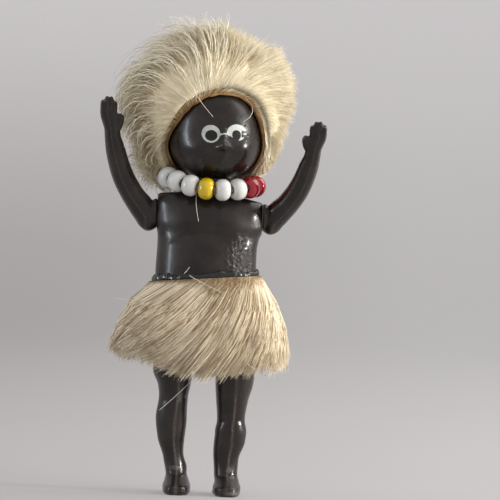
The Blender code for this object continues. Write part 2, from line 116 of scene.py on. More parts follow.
class Wire:  # one output of a node, which can be reckoned with as a number is
    def __init__(self, board, socket):
        self.board = board
        self.socket = socket

    def sum(self, operation, first, second):
        add = self.board.add
        vectors = [w for w in (first, second) if isinstance(w, Wire) and w.socket.type == "VECTOR"]
        if not vectors:
            return add("ShaderNodeMath", {"operation": operation}, {0: first, 1: second})
        if operation == "MULTIPLY" and len(vectors) == 1:
            other = second if vectors[0] is first else first
            if isinstance(other, Wire) or not hasattr(other, "__len__"):
                return add("ShaderNodeVectorMath", {"operation": "SCALE"}, {0: vectors[0], 3: other})
        return add("ShaderNodeVectorMath", {"operation": operation}, {0: first, 1: second})

    def __add__(self, other):
        return self.sum("ADD", self, other)

    def __radd__(self, other):
        return self.sum("ADD", other, self)

    def __sub__(self, other):
        return self.sum("SUBTRACT", self, other)

    def __rsub__(self, other):
        return self.sum("SUBTRACT", other, self)

    def __mul__(self, other):
        return self.sum("MULTIPLY", self, other)

    def __truediv__(self, other):
        return self.sum("DIVIDE", self, other)

    def __rtruediv__(self, other):
        return self.sum("DIVIDE", other, self)

    def __pow__(self, other):
        return self.sum("POWER", self, other)

    def least(self, other):
        return self.sum("MINIMUM", self, other)

    def most(self, other):
        return self.sum("MAXIMUM", self, other)

    def alone(self, operation):  # a function of this value, such as its sine
        return self.board.add("ShaderNodeMath", {"operation": operation}, {0: self})

    def between(self, low, high, start=0.0, end=1.0):  # eased from start to end
        ends = {0: self, 1: low, 2: high, 3: start, 4: end}
        return self.board.add("ShaderNodeMapRange", {"interpolation_type": "SMOOTHSTEP"}, ends)

    def unit(self):  # a vector of length 1, the same way
        return self.board.add("ShaderNodeVectorMath", {"operation": "NORMALIZE"}, {0: self})

    def part(self, axis):  # one coordinate of a vector
        return self.board.add("ShaderNodeSeparateXYZ", {}, {0: self}, axis)


class Board:  # a node tree and what adds nodes to it
    def __init__(self, tree):
        self.tree = tree

    def add(self, kind, settings=None, inputs=None, out=0):
        made = self.tree.nodes.new(kind)
        for key, value in (settings or {}).items():
            setattr(made, key, value)
        for key, value in (inputs or {}).items():
            if isinstance(value, Wire):
                self.tree.links.new(value.socket, made.inputs[key])
            else:
                made.inputs[key].default_value = value
        return Wire(self, made.outputs[out]) if made.outputs else made

    def mix(self, factor, first, second):
        colours = [(*c, 1.0) if isinstance(c, tuple) else c for c in (first, second)]
        return self.add("ShaderNodeMix", {"data_type": "RGBA"}, {0: factor, 6: colours[0], 7: colours[1]}, 2)

    def noise(self, vector, size, detail=2.0, roughness=0.5):  # size is in millimetres
        inputs = {"Vector": vector, "Scale": 1 / size, "Detail": detail, "Roughness": roughness}
        return self.add("ShaderNodeTexNoise", {}, inputs)

    def kept(self, label, out=2):  # what the mesh keeps at its points, as a vector at 1 and a number at 2
        return self.add("ShaderNodeAttribute", {"attribute_name": label}, {}, out)

    def relief(self, strength, distance, height):
        return self.add("ShaderNodeBump", {}, {"Strength": strength, "Distance": distance, "Height": height})


def newFinish(name, **constants):
    made = bpy.data.materials.new(name)
    made.use_nodes = True
    shader = made.node_tree.nodes["Principled BSDF"]
    for key, value in constants.items():
        shader.inputs[key.replace("_", " ")].default_value = value
    board = Board(made.node_tree)
    spot = board.add("ShaderNodeTexCoord", {}, {}, 3) * 1000.0  # Object coordinates, in millimetres
    return made, board, shader, spot


def feed(board, shader, name, wire):
    board.tree.links.new(wire.socket, shader.inputs[name])


plastic = {
    "base": (0.0125, 0.0088, 0.0072), "dusty": (0.024, 0.018, 0.0155), "worn": (0.26, 0.24, 0.23),
    # seam: lighter along the mould lines, partly worn and partly a painted highlight on their ridges
    "seam": (0.13, 0.112, 0.1), "roughness": 0.22,
}


def darkPlastic(name, extra=None):  # extra paints or roughens one piece alone
    made, board, shader, spot = newFinish(name, Coat_Weight=0.15, Coat_Roughness=0.1, IOR=1.42)
    seam = board.kept("worn")
    cloudy = board.noise(spot, 6.0, 4.0, 0.6)
    grain = board.noise(spot, 0.35, 3.0, 0.6)
    specks = board.noise(spot, 0.22).between(0.71, 0.78)
    rubbed = board.noise(spot, 2.6, 5.0, 0.65).between(0.64, 0.74) * grain.between(0.45, 0.6)
    colour = board.mix(cloudy.between(0.4, 0.75), plastic["base"], plastic["dusty"])
    colour = board.mix(specks * 0.25, colour, plastic["worn"])
    colour = board.mix(rubbed * 0.14, colour, plastic["worn"])
    # the mould lines are painted lighter: partly wear, partly a painted highlight along their ridges
    colour = board.mix((seam * grain.between(0.25, 0.6)).least(1.0), colour, plastic["seam"])
    rough = plastic["roughness"] + cloudy.between(0.35, 0.7) * 0.14 + grain * 0.06 + rubbed * 0.2
    pits = board.add("ShaderNodeTexVoronoi", {}, {"Vector": spot, "Scale": 1.1}).between(0.05, 0.2)
    height = grain * 0.25 + board.noise(spot, 1.6, 3.0) + pits * 0.4
    if extra:
        colour, rough, height = extra(board, spot, colour, rough, height)
    feed(board, shader, "Base Color", colour)
    feed(board, shader, "Roughness", rough)
    feed(board, shader, "Normal", board.relief(0.35, 0.0001, height))
    return made


eyes = {  # ovals on the face: across, up, half width, half height, in millimetres
    "leftWhite": (-3.33, 2.04, 2.2, 2.2), "leftCorner": (-1.12, 1.93, 0.42, 0.3),
    "leftPupil": (-3.25, 1.64, 1.5, 1.36), "rightPupil": (3.12, 1.78, 1.2, 1.25),
    "rightWhite": (3.25, 2.3, 2.65, 2.15),
    "flake": (5.35, 2.1, 0.5, 0.24), "flakeHole": (5.15, 2.1, 0.13, 0.13),
    "lostOutside": ((4.4, 4.55), (3.0, 2.85)), "lostBelow": ((2.3, 2.45), (1.0, 0.85)),
    "lostSlant": 0.7, "lostUnder": (2.66, 2.5),  # where the right eye's paint has gone
    "wedge": (4.4, 0.88), "wedgeHalf": (0.75, 0.24), "wedgeWay": (0.87, 0.5),
    "bridge": 2.06, "bridgeSag": 0.27, "bridgeEdge": (0.16, 0.09), "bridgeEnd": (1.35, 1.2),
    "white": (0.5, 0.535, 0.49), "black": (0.004, 0.0035, 0.0035), "wobble": 0.22,
    "across": 0.37, "down": 0.5,  # the paint lies this far over and down
    "lumps": (  # across, up, size and how far each stands out
        (5.6, 4.2, 0.4, 2.2), (6.4, 1.75, 0.4, 2.2), (5.9, 0.65, 0.35, 1.8), (0.6, 3.16, 0.4, -2.5),
        (6.9, -1.9, 0.5, 1.5),
    ),
}


def paintedEyes(board, spot, colour, rough, height):
    x, y, z = faceCoordinates(board, spot)
    wobble = board.noise(spot, 0.9, 2.0)
    x = x + (wobble - 0.5) * eyes["wobble"] - eyes["across"]
    z = z + (board.noise(spot + (9.0, 0.0, 0.0), 0.9, 2.0) - 0.5) * eyes["wobble"] + eyes["down"]

    def reach(across, up, halfWidth, halfHeight):
        return (((x - across) / halfWidth) ** 2.0 + ((z - up) / halfHeight) ** 2.0) ** 0.5

    def disc(across, up, halfWidth, halfHeight):  # 1 inside an oval
        edge = 0.07 / min(halfWidth, halfHeight)
        return reach(across, up, halfWidth, halfHeight).between(1.0 + edge, 1.0 - edge)

    def corner(over, under):
        return x.between(*over) * z.between(*under)

    left = disc(*eyes["leftWhite"]).most(disc(*eyes["leftCorner"])) * (1.0 - disc(*eyes["leftPupil"]))
    slanted = (z + x * eyes["lostSlant"]).between(*eyes["lostUnder"])
    lost = corner(*eyes["lostOutside"]).most(slanted).most(corner(*eyes["lostBelow"]))
    right = disc(*eyes["rightWhite"]) * (1.0 - disc(*eyes["rightPupil"])) * (1.0 - lost)
    flake = disc(*eyes["flake"]) * (1.0 - disc(*eyes["flakeHole"]))
    over, above = x - eyes["wedge"][0], z - eyes["wedge"][1]
    slope, rise = eyes["wedgeWay"]
    along = (over * slope + above * rise) / eyes["wedgeHalf"][0]
    athwart = (above * slope - over * rise) / eyes["wedgeHalf"][1]
    wedge = (along ** 2.0 + athwart ** 2.0).between(1.3, 0.8)
    arch = (z + x * x * eyes["bridgeSag"] - eyes["bridge"]).alone("ABSOLUTE")
    bridge = arch.between(*eyes["bridgeEdge"]) * x.alone("ABSOLUTE").between(*eyes["bridgeEnd"])
    front = y.between(-2.0, -3.0)
    white = left.most(right).most(flake).most(wedge).most(bridge) * front
    pupils = disc(*eyes["leftPupil"]).most(disc(*eyes["rightPupil"])) * front
    colour = board.mix(pupils * 0.6, colour, eyes["black"])
    streaky = board.noise(spot, 0.5, 3.0).between(0.3, 0.6, 0.8, 1.0)
    colour = board.mix(white * streaky, colour, eyes["white"])
    rough = rough + white * 0.12
    for across, up, size, lift in eyes["lumps"]:
        height = height + reach(across, up, size, size).between(1.0, 0.0) * front * lift
    return colour, rough, height


smear = {
    "middle": (7.9, 59.2), "half": (3.6, 5.4), "uneven": 2.2, "crackle": 0.62, "lift": 17.0, "gloss": 0.1,
}


def smearedBelly(board, spot, colour, rough, height):  # a rough glossy smear of glue over the belly
    across = (spot.part(0) - smear["middle"][0]) / smear["half"][0]
    up = (spot.part(2) - smear["middle"][1]) / smear["half"][1]
    uneven = across ** 2.0 + up ** 2.0 + board.noise(spot, 1.1, 4.0, 0.6) * smear["uneven"]
    there = uneven.between(2.6, 0.9) * spot.part(1).between(-4.0, -6.0)
    height = height + there * board.noise(spot, smear["crackle"]) * smear["lift"]
    return colour, rough - there * smear["gloss"], height


def faceCoordinates(board, spot):
    turned = board.add(
        "ShaderNodeMapping", {"vector_type": "TEXTURE"},
        {"Vector": spot, "Location": place(*headSizes["centre"]) / mm,
         "Rotation": (0.0, headSizes["lean"], headSizes["turn"])},
    )
    return turned.part(0), turned.part(1), turned.part(2)


# a surface that joins rings of points, in which a ring of one point is a pole
def skinned(name, rings, finish, closed=False, caps=True, merge=True):
    points, faces, starts = [], [], []
    for ring in rings:
        starts.append(len(points))
        points += ring
    pairs = [(k, k + 1) for k in range(len(rings) - 1)] + ([(len(rings) - 1, 0)] if closed else [])
    for a, b in pairs:
        sizes = len(rings[a]), len(rings[b])
        for s in range(max(sizes)):
            n = (s + 1) % max(sizes)
            corners = [
                starts[a] + s % sizes[0], starts[a] + n % sizes[0],
                starts[b] + n % sizes[1], starts[b] + s % sizes[1],
            ]
            faces.append(list(dict.fromkeys(corners)))
    if caps and not closed:
        faces += [[starts[k] + s for s in range(len(rings[k]))] for k in (0, -1) if len(rings[k]) > 1]
    data = bpy.data.meshes.new(name)
    data.from_pydata([tuple(p) for p in points], [], faces)
    outward(data, merge)
    data.shade_smooth()
    data.materials.append(finish)
    made = bpy.data.objects.new(name, data)
    scene.collection.objects.link(made)
    return made


def outward(data, merge):
    mesh = bmesh.new()
    mesh.from_mesh(data)
    if merge:
        bmesh.ops.remove_doubles(mesh, verts=mesh.verts, dist=1e-6)
    bmesh.ops.recalc_face_normals(mesh, faces=mesh.faces)
    mesh.to_mesh(data)
    mesh.free()


def workIn(made):  # turns the piece's modifiers into its own mesh
    evaluated = made.evaluated_get(bpy.context.evaluated_depsgraph_get())
    data = bpy.data.meshes.new_from_object(evaluated)
    made.modifiers.clear()
    made.data = data


def surfaceOf(made):  # what rays are cast at
    data = made.data
    return BVHTree.FromPolygons([v.co[:] for v in data.vertices], [list(f.vertices) for f in data.polygons])


def ready(piece, slot, *nodes):
    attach(piece, "root")
    if nodes:
        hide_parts(*nodes)


def marked(piece, label, measure):  # keeps a value from 0 to 1 at each point of a piece
    values = piece.data.attributes.new(label, "FLOAT", "POINT")
    values.data.foreach_set("value", [clamp(measure((v.co - figureShift) / mm)) for v in piece.data.vertices])


def joined(name, pieces):  # several meshes made one object
    mesh = bmesh.new()
    for piece in pieces:
        mesh.from_mesh(piece.data)
    data = bpy.data.meshes.new(name)
    mesh.to_mesh(data)
    mesh.free()
    data.materials.append(pieces[0].data.materials[0])
    for piece in pieces:
        bpy.data.objects.remove(piece)
    made = bpy.data.objects.new(name, data)
    scene.collection.objects.link(made)
    return made


view = {"middle": (10.39, -3.0, 61.7), "distance": 700.0, "width": 125.0, "tilt": 0.0384}


def makeCamera():
    lens = bpy.data.cameras.new("camera")
    lens.sensor_width = 36.0
    lens.lens = lens.sensor_width * view["distance"] / view["width"]
    lens.clip_start, lens.clip_end = 0.01, 20.0
    camera = bpy.data.objects.new("camera", lens)
    scene.collection.objects.link(camera)
    level = sqrt(1 - view["tilt"] ** 2)
    axes = Matrix(((level, -view["tilt"], 0), (0, 0, -1), (view["tilt"], level, 0)))
    x, y, z = view["middle"]
    camera.matrix_world = Matrix.Translation(Vector((x, y - view["distance"], z)) * mm) @ axes.to_4x4()
    scene.camera = camera


def makeLight(name, position, target, size, power, colour, tall=None, mirrored=True):
    lamp = bpy.data.lights.new(name, "AREA")
    lamp.shape = "RECTANGLE" if tall else "DISK"
    lamp.size = size
    lamp.size_y = tall or size
    lamp.energy = power
    lamp.color = colour
    made = bpy.data.objects.new(name, lamp)
    scene.collection.objects.link(made)
    made.location = position
    made.visible_glossy = mirrored
    made.rotation_euler = (Vector(target) - Vector(position)).to_track_quat("-Z", "Y").to_euler()


stage = {
    "flat": 1.1, "wall": 0.8, "height": 2.2, "sides": 96, "steps": 24,
    "paper": ((0.2, 0.195, 0.195), (0.215, 0.208, 0.208)), "flecks": (0.34, 0.32, 0.31),
    # the glows are painted light given off by the paper itself: weaker at the left, stronger at the right and
    # up the wall
    "leftGlow": (0.2, 0.19, 0.187), "rightGlow": (0.31, 0.3, 0.298), "wallGlow": (0.42, 0.405, 0.408),
}


def makeStage():
    made, board, shader, spot = newFinish("paperFloor", Roughness=0.85)
    mottled = board.mix(board.noise(spot, 60.0, 3.0), *stage["paper"])
    flecks = board.noise(spot, 3.0, 4.0, 0.6).between(0.62, 0.75)
    feed(board, shader, "Base Color", board.mix(flecks * 0.25, mottled, stage["flecks"]))
    # painted light: the paper glows, weaker at the left and stronger at the right as light falling from the
    # right, and stronger up the wall to even it with the floor
    near = board.mix(spot.part(0).between(-160.0, 160.0), stage["leftGlow"], stage["rightGlow"])
    glow = board.mix(spot.part(2).between(0.0, 300.0), near, stage["wallGlow"])
    feed(board, shader, "Emission Color", glow)
    shader.inputs["Emission Strength"].default_value = 1.0
    profile = [(0.0, 0.0), (stage["flat"] * 0.5, 0.0), (stage["flat"], 0.0)]
    for k in range(1, stage["steps"] + 1):
        turn = pi / 2 * k / stage["steps"]
        profile.append((stage["flat"] + stage["wall"] * sin(turn), stage["wall"] * (1 - cos(turn))))
    profile.append((stage["flat"] + stage["wall"], stage["height"]))
    rings = [[Vector((0.0, 0.0, 0.0))]]
    for reach, height in profile[1:]:
        rings.append([Vector((reach * cos(t), reach * sin(t), height)) for t in turnsRound(stage["sides"])])
    floor = skinned("paper_floor", rings, made, caps=False)


room = {"colour": (0.97, 0.97, 1.0), "strength": 0.68}
lights = {  # where each is and what it points at in metres, its width, its power and its colour
    "keyLight": dict(
        position=(0.77, -0.1, 0.17), target=(0, 0, 0.07), size=0.09, power=5.2, colour=(1.0, 0.975, 0.94)),
    "windowLight": dict(
        position=(-0.62, -0.17, 0.1), target=(0, 0, 0.06), size=0.08, power=1.4, colour=(0.82, 0.91, 1.0),
        tall=0.4),
    "softLight": dict(
        position=(0.75, 0.2, 0.8), target=(0, 0, 0.06), size=0.9, power=5.0, colour=(1.0, 0.99, 0.97)),
    "fillLight": dict(
        position=(0.75, -0.5, 0.35), target=(0, 0, 0.06), size=0.6, power=4.2, colour=(1.0, 0.98, 0.95),
        mirrored=False),  # it lights without a reflection of its own
}


def makeWorld():
    world = bpy.data.worlds.new("studio")
    world.use_nodes = True
    back = world.node_tree.nodes["Background"]
    back.inputs["Color"].default_value = (*room["colour"], 1.0)
    back.inputs["Strength"].default_value = room["strength"]
    scene.world = world
    scene.view_settings.view_transform = "Standard"


makeCamera()
makeStage()
makeWorld()
for lightName, light in lights.items():
    makeLight(lightName, **light)
print("camera, lights and floor are made")

headSizes = {
    "centre": (0.0, 0.0, 88.5), "radius": 11.7, "above": 17.0, "below": 10.0,
    "turn": radians(11), "lean": radians(-2), "rings": 80, "sides": 110,
}
faceForms = (  # across, up, half width, half height, how far it stands out
    (5.6, -2.6, 3.0, 2.7, 0.75), (-5.6, -2.6, 3.0, 2.7, 0.7), (0.0, 8.0, 7.0, 4.5, 0.35),
    (3.0, 2.4, 3.0, 2.4, -0.35), (-3.4, 2.6, 2.6, 2.0, -0.5), (2.9, 2.4, 2.2, 1.8, 0.25),
    (-3.35, 2.5, 1.8, 1.6, 0.4), (0.0, 1.0, 0.9, 2.0, 0.55), (0.0, -1.4, 1.2, 1.1, 1.9),
    (1.35, -1.9, 0.7, 0.6, 0.6), (-1.35, -1.9, 0.7, 0.6, 0.6), (0.0, -2.9, 0.4, 0.5, -0.25),
    (0.0, -3.75, 1.9, 0.5, 0.9), (0.0, -4.9, 1.6, 0.55, 0.95), (0.0, -4.3, 2.2, 0.16, -0.35),
    (0.0, -7.2, 2.6, 1.5, 0.8),
)


def headPoint(polar, turn):  # in the head's own frame, in millimetres
    sizes = headSizes
    half = sizes["above"] if sin(turn) > 0 else sizes["below"]
    x = sizes["radius"] * sin(polar) * cos(turn)
    y = -sizes["radius"] * cos(polar)
    z = half * sin(polar) * sin(turn)
    if y < 0:
        relief = sum(lift * exp(-((x - a) / w) ** 2 - ((z - u) / h) ** 2) for a, u, w, h, lift in faceForms)
        y -= relief * min(1.0, -2.5 * y / sizes["radius"])
    return Vector((x, y, z))


headTurn = Euler((0.0, headSizes["lean"], headSizes["turn"])).to_matrix()


def onFigure(point):  # from the head's frame to the part's
    return place(*(headTurn @ point + Vector(headSizes["centre"])))


def makeHead():
    rings = [[onFigure(headPoint(0.0, 0.0))]]
    for k in range(1, headSizes["rings"]):
        polar = pi * (k / headSizes["rings"]) ** 1.15
        rings.append([onFigure(headPoint(polar, t)) for t in turnsRound(headSizes["sides"])])
    rings.append([onFigure(headPoint(pi, 0.0))])
    head = skinned("moulded_head", rings, darkPlastic("facePlastic", paintedEyes))
    ready(head, "dark_plastic", "head")
    return head


head = makeHead()
print("the head is made")

bodyPlastic = darkPlastic("bodyPlastic")
torsoSizes = {"shift": -0.5, "shoulder": 13.2, "crotch": 36.5, "crotchHalf": 1.6, "slope": radians(52),
              "rings": 110, "sides": 100, "lean": 0.06, "leanFrom": 60.0, "leanTo": 70.0,
              "bottom": 34.0, "top": 80.3}
torsoKeys = (  # height, half width, depth in front, depth behind, sway
    (34.0, 2.6, 3.0, 3.2, 0.0), (37.0, 9.0, 6.4, 7.4, -0.1), (42.0, 12.2, 7.8, 8.8, -0.3),
    (49.0, 12.6, 8.8, 7.8, -0.5), (56.0, 12.6, 9.1, 6.8, -0.5), (61.5, 12.5, 8.8, 6.4, -0.4),
    (64.5, 12.7, 7.5, 6.4, -0.2), (68.0, 13.9, 7.4, 6.6, 0.0), (71.5, 13.9, 6.8, 6.4, 0.0),
    (74.2, 13.2, 5.4, 5.8, 0.0), (75.0, 9.0, 4.8, 5.0, 0.0), (76.2, 5.0, 4.3, 4.4, 0.0),
    (86.0, 4.5, 4.0, 4.0, 0.0),
)
bodyForms = (  # across, up, half width, half height, how far it stands out
    (-6.3, 68.4, 3.4, 3.0, 0.55), (5.4, 68.2, 3.4, 3.0, 0.6), (10.4, 69.9, 1.2, 1.6, 0.3),
    (0.0, 63.6, 9.0, 1.6, 0.45),
)
crease = {"height": 65.35, "bow": 0.026, "top": -0.8, "middle": -0.5, "half": 8.5, "deep": 0.3, "high": 0.3}


def bodyRelief(x, z):
    found = sum(lift * bump(x - a, w) * bump(z - u, h) for a, u, w, h, lift in bodyForms)
    height = crease["height"] - crease["bow"] * (x - crease["top"]) ** 2
    fading = eased(1.4 - abs(x - crease["middle"]) / crease["half"])
    return found - crease["deep"] * bump(z - height, crease["high"]) * fading


def oval(centre, halfWidth, front, back, sides, squareness=2.0):
    ring = []
    for turn in turnsRound(sides):
        depth = front if sin(turn) < 0 else back
        across = halfWidth * signedPower(cos(turn), 2 / squareness)
        ring.append(centre + Vector((across, depth * signedPower(sin(turn), 2 / squareness), 0.0)))
    return ring


def hipFlat(side, clearance):
    sizes = torsoSizes
    along = Vector((side * cos(sizes["slope"]), 0.0, sin(sizes["slope"])))
    away = Vector((side * sin(sizes["slope"]), 0.0, -cos(sizes["slope"])))
    start = Vector((sizes["shift"] + side * sizes["crotchHalf"], 0.0, sizes["crotch"]))
    return start + along * sizes["crotchHalf"] + away * clearance, away


def flattened(point, where, away):  # pressed back onto a plane that it lies past
    past = (point - where).dot(away)
    return point - away * past if past > 0 else point


def makeTorso():
    sizes = torsoSizes
    rings = []
    for k in range(sizes["rings"] + 1):
        height = sizes["bottom"] + (sizes["top"] - sizes["bottom"]) * k / sizes["rings"]
        halfWidth, front, back, sway = keyed(torsoKeys, height)
        lean = sizes["lean"] * eased((height - sizes["leanFrom"]) / (sizes["leanTo"] - sizes["leanFrom"]))
        ring = []
        for p in oval(Vector((sizes["shift"] + sway, 0.0, height)), halfWidth, front, back, sizes["sides"]):
            p.z -= lean * p.x
            if p.y < 0:
                p.y -= bodyRelief(p.x, p.z) * eased(-p.y / 3.0)
            for side in (-1, 1):
                shoulder = Vector((sizes["shift"] + side * sizes["shoulder"], 0, 0))
                p = flattened(p, shoulder, Vector((side, 0, 0)))
                p = flattened(p, *hipFlat(side, 0.0))
            ring.append(place(*p))
        rings.append(ring)
    torso = skinned("moulded_torso", rings, darkPlastic("torsoPlastic", smearedBelly))
    ready(torso, "dark_plastic", "torso")


makeTorso()

legSizes = {"rings": 110, "sides": 60, "top": 49.5, "stance": 3.0, "stanceHeight": 31.0, "gap": 0.3,
            "seam": 0.12, "seamHalf": 0.2, "kneeLine": 0.22, "kneeHalf": 0.5, "kneeSlant": 0.12}
foot = ((0.0, 6.3, 3.0, 8.2, 3.9, 2.9), (0.6, 6.3, 3.45, 8.9, 4.3, 2.9), (1.9, 6.3, 3.5, 8.7, 4.5, 2.8),
        (3.2, 6.3, 3.1, 6.6, 4.3, 2.4))
thigh = ((31.0, 7.8, 4.95, 5.8, 6.2, 2.0), (38.0, 7.7, 4.9, 6.3, 6.9, 2.0), (50.0, 6.6, 4.9, 5.6, 5.4, 2.0))
legs = {  # keys: height, distance from the middle, half width, depth in front, depth behind, squareness
    "right_leg": {
        "side": -1,
        "keys": (*foot, (5.2, 6.5, 2.6, 3.6, 3.4, 2.1), (9.0, 7.2, 2.6, 2.9, 3.2, 2.0),
                 (13.9, 7.9, 3.4, 3.4, 4.0, 2.0), (18.9, 7.95, 3.9, 3.8, 4.4, 2.0),
                 (24.0, 7.5, 3.65, 4.2, 4.2, 2.0), (27.0, 7.35, 4.05, 4.9, 4.9, 2.0), *thigh),
        "seam": ((0.0, 0.0), (10.0, 0.6), (25.0, 1.2), (45.0, 1.2)),
        "knee": 23.7, "lump": (7.0, 1.7, 0.35, 0.0),
        "rubbed": ((-6.5, 6.6, 1.3, 0.35), (-6.1, 24.6, 0.4, 1.0)),
    },
    "left_leg": {
        "side": 1,
        "keys": (*foot, (5.2, 6.0, 2.95, 3.6, 3.4, 2.1), (8.9, 6.0, 3.15, 3.0, 3.2, 2.0),
                 (13.4, 6.8, 3.9, 3.5, 4.1, 2.0), (16.0, 7.05, 3.95, 3.8, 4.3, 2.0),
                 (18.9, 7.05, 3.5, 3.7, 3.9, 2.0), (24.0, 7.25, 4.05, 4.8, 4.7, 2.0),
                 (28.0, 7.7, 4.75, 5.4, 5.6, 2.0), *thigh),
        "seam": ((0.0, 0.2), (5.0, 0.3), (10.0, 0.8), (16.5, 0.45), (21.5, 0.85), (27.0, 0.7), (45.0, 0.7)),
        "knee": 18.7, "lump": (0.5, 0.5, 0.3, pi),
        "rubbed": ((6.9, 6.5, 0.5, 0.6), (8.0, 0.9, 1.4, 0.4)),
    },
}
toes = {"across": (-2.0, -1.0, 0.0, 1.0), "below": 2.2, "fade": 0.8, "depth": 0.32}  # grooves between toes


def makeLeg(node):
    sizes, leg = legSizes, legs[node]
    side = leg["side"]
    rings = []
    for k in range(sizes["rings"] + 1):
        height = sizes["top"] * (k / sizes["rings"]) ** 1.2
        spread, halfWidth, front, back, square = keyed(leg["keys"], height)
        rise = min(1.0, height / sizes["stanceHeight"])
        centre = Vector((side * spread + torsoSizes["shift"] * rise, sizes["stance"] * (1 - rise), height))
        point, away = hipFlat(side, sizes["gap"])
        middle, spreadUp, size, turnTo = leg["lump"]
        seam = keyed(leg["seam"], height)[0]
        ring = []
        for p in oval(centre, halfWidth, front, back, sizes["sides"], square):
            out = (p - centre).normalized()
            lumpAway = (out - Vector((cos(turnTo), 0, 0))).length
            lift = size * bump(height - middle, spreadUp) * bump(lumpAway, 0.5)
            beside = p.x - centre.x
            if p.y < centre.y:
                kneeLine = bump(height - leg["knee"] - sizes["kneeSlant"] * beside, sizes["kneeHalf"])
                lift += sizes["seam"] * bump(beside - seam, sizes["seamHalf"])
                lift -= sizes["kneeLine"] * kneeLine * eased(-out.y * 1.5)
                if height < toes["below"]:
                    low = eased((toes["below"] - height) / toes["fade"])
                    lift -= toes["depth"] * low * max(bump(beside - side * a, 0.2) for a in toes["across"])
            ring.append(place(*flattened(p + out * lift, point, -away)))
        rings.append(ring)
    made = skinned("moulded_" + node, rings, bodyPlastic)

    # the mould seam down the front is marked lighter, partly as wear and partly as a painted highlight on its
    # ridge; the rubbed spots are wear
    def worn(p):
        rise = min(1.0, p.z / sizes["stanceHeight"])
        middle = side * keyed(leg["keys"], p.z)[0] + torsoSizes["shift"] * rise
        if p.y > sizes["stance"] * (1 - rise):
            return 0.0
        rub = max(bump(p.x - x, w) * bump(p.z - z, h) for x, z, w, h in leg["rubbed"])
        return 0.8 * bump(p.x - middle - keyed(leg["seam"], p.z)[0], 0.22) + 1.6 * rub

    marked(made, "worn", worn)
    ready(made, "dark_plastic", node)


makeLeg("right_leg")
makeLeg("left_leg")

armSizes = {"pivot": 13.5, "height": 69.6, "rings": 120, "sides": 48, "grain": 0.24, "soften": 2}
hub = {"inner": 0.27, "outer": 1.2, "deep": 2.6, "high": 3.8, "up": 0.4}  # where an arm sits against the body
armKeys = (  # out, up, half width, half thickness
    (1.8, -4.0, 0.9, 1.0), (1.8, -3.1, 2.0, 2.2), (2.2, -0.6, 3.0, 2.8), (3.7, 2.0, 3.15, 2.9),
    (5.7, 4.6, 2.9, 2.8), (8.3, 9.2, 2.75, 2.6), (9.6, 12.7, 2.6, 2.4), (10.55, 16.2, 2.45, 2.1),
    (11.3, 19.4, 2.05, 1.7),
    (11.6, 21.7, 1.95, 1.5), (12.15, 24.1, 2.1, 1.3), (12.6, 26.0, 2.1, 1.05), (12.7, 27.2, 1.6, 0.8),
)
thumbKeys = ((10.9, 20.4, 0.9, 0.8), (9.9, 22.6, 1.05, 0.95), (9.5, 24.4, 0.9, 0.85), (9.6, 25.4, 0.45, 0.45))
fingers = ((10.95, 28.5), (11.95, 29.7), (12.95, 29.75), (14.0, 28.8))  # out and up of each tip


def limbRings(side, keys, sides, count):
    numbered = [(k, *key) for k, key in enumerate(keys)]
    stops = [keyed(numbered, (len(keys) - 1) * k / (count - 1)) for k in range(count)]
    rings = []
    for k, (out, up, halfWidth, halfThickness) in enumerate(stops):
        before, after = stops[max(0, k - 1)], stops[min(count - 1, k + 1)]
        along = Vector((side * (after[0] - before[0]), 0.0, after[1] - before[1])).normalized()
        across = Vector((along.z, 0.0, -along.x))
        centre = Vector((side * out, 0.0, up))
        rings.append([
            centre + across * halfWidth * cos(t) + Vector((0.0, halfThickness * sin(t), 0.0))
            for t in turnsRound(sides)
        ])
    return rings


def makeArm(name, node, side, swing):
    sizes = armSizes
    turned = Euler((swing, 0.0, 0.0)).to_matrix()
    shoulder = Vector((torsoSizes["shift"] + side * sizes["pivot"], 0.0, sizes["height"]))

    def settled(rings):
        flat = Vector((-side, 0.0, 0.0))
        inner = flat * hub["inner"]
        return [[place(*(turned @ flattened(p, inner, flat) + shoulder)) for p in ring] for ring in rings]

    def hubRing(out, share):
        across, up = hub["deep"] * share, hub["high"] * share
        return [Vector((side * out, across * cos(t), hub["up"] + up * sin(t))) for t in turnsRound(40)]

    limbs = [limbRings(side, armKeys, sizes["sides"], sizes["rings"]), limbRings(side, thumbKeys, 24, 30)]
    for out, up in fingers:
        keys = ((out * 0.9 + 1.2, 23.5, 0.4, 0.5), (out * 0.96 + 0.5, 25.0, 0.62, 0.85),
                (out, up - 1.3, 0.64, 0.75), (out, up - 0.35, 0.5, 0.55), (out, up, 0.12, 0.15))
        limbs.append(limbRings(side, keys, 20, 24))
    inner, outer = hub["inner"], hub["outer"]
    hubRings = ((-inner, 0.93), (-inner / 2, 1.0), (outer / 2, 0.97), (outer, 0.7))
    limbs.append([hubRing(*ring) for ring in hubRings])
    arm = joined(name, [skinned(f"limb_{k}", settled(rings), bodyPlastic) for k, rings in enumerate(limbs)])
    remesh = arm.modifiers.new("merge", "REMESH")
    remesh.mode = "VOXEL"
    remesh.voxel_size = sizes["grain"] * mm
    smooth = arm.modifiers.new("soften", "SMOOTH")
    smooth.iterations = sizes["soften"]
    workIn(arm)
    arm.data.shade_smooth()
    back = turned.transposed()
    numbered = [(up, out, half, thick) for out, up, half, thick in armKeys[2:]]

    def worn(p):  # the moulding lines down the outer edge and the front, marked lighter partly as wear and partly as a painted highlight on their ridges
        q = back @ (p - shoulder)
        out, half, thick = keyed(numbered, q.z)
        beside = (side * q.x - out) / half
        outerLine = bump(q.y / thick + 0.5, 0.13) * eased((beside - 0.35) * 4)
        return 0.7 * outerLine + 0.35 * bump(beside - 0.1, 0.06) * eased(-q.y)

    marked(arm, "worn", worn)
    ready(arm, "dark_plastic", node)


makeArm("moulded_right_arm", "right_arm", -1, radians(13))
makeArm("moulded_left_arm", "left_arm", 1, radians(36))
print("the body is made")

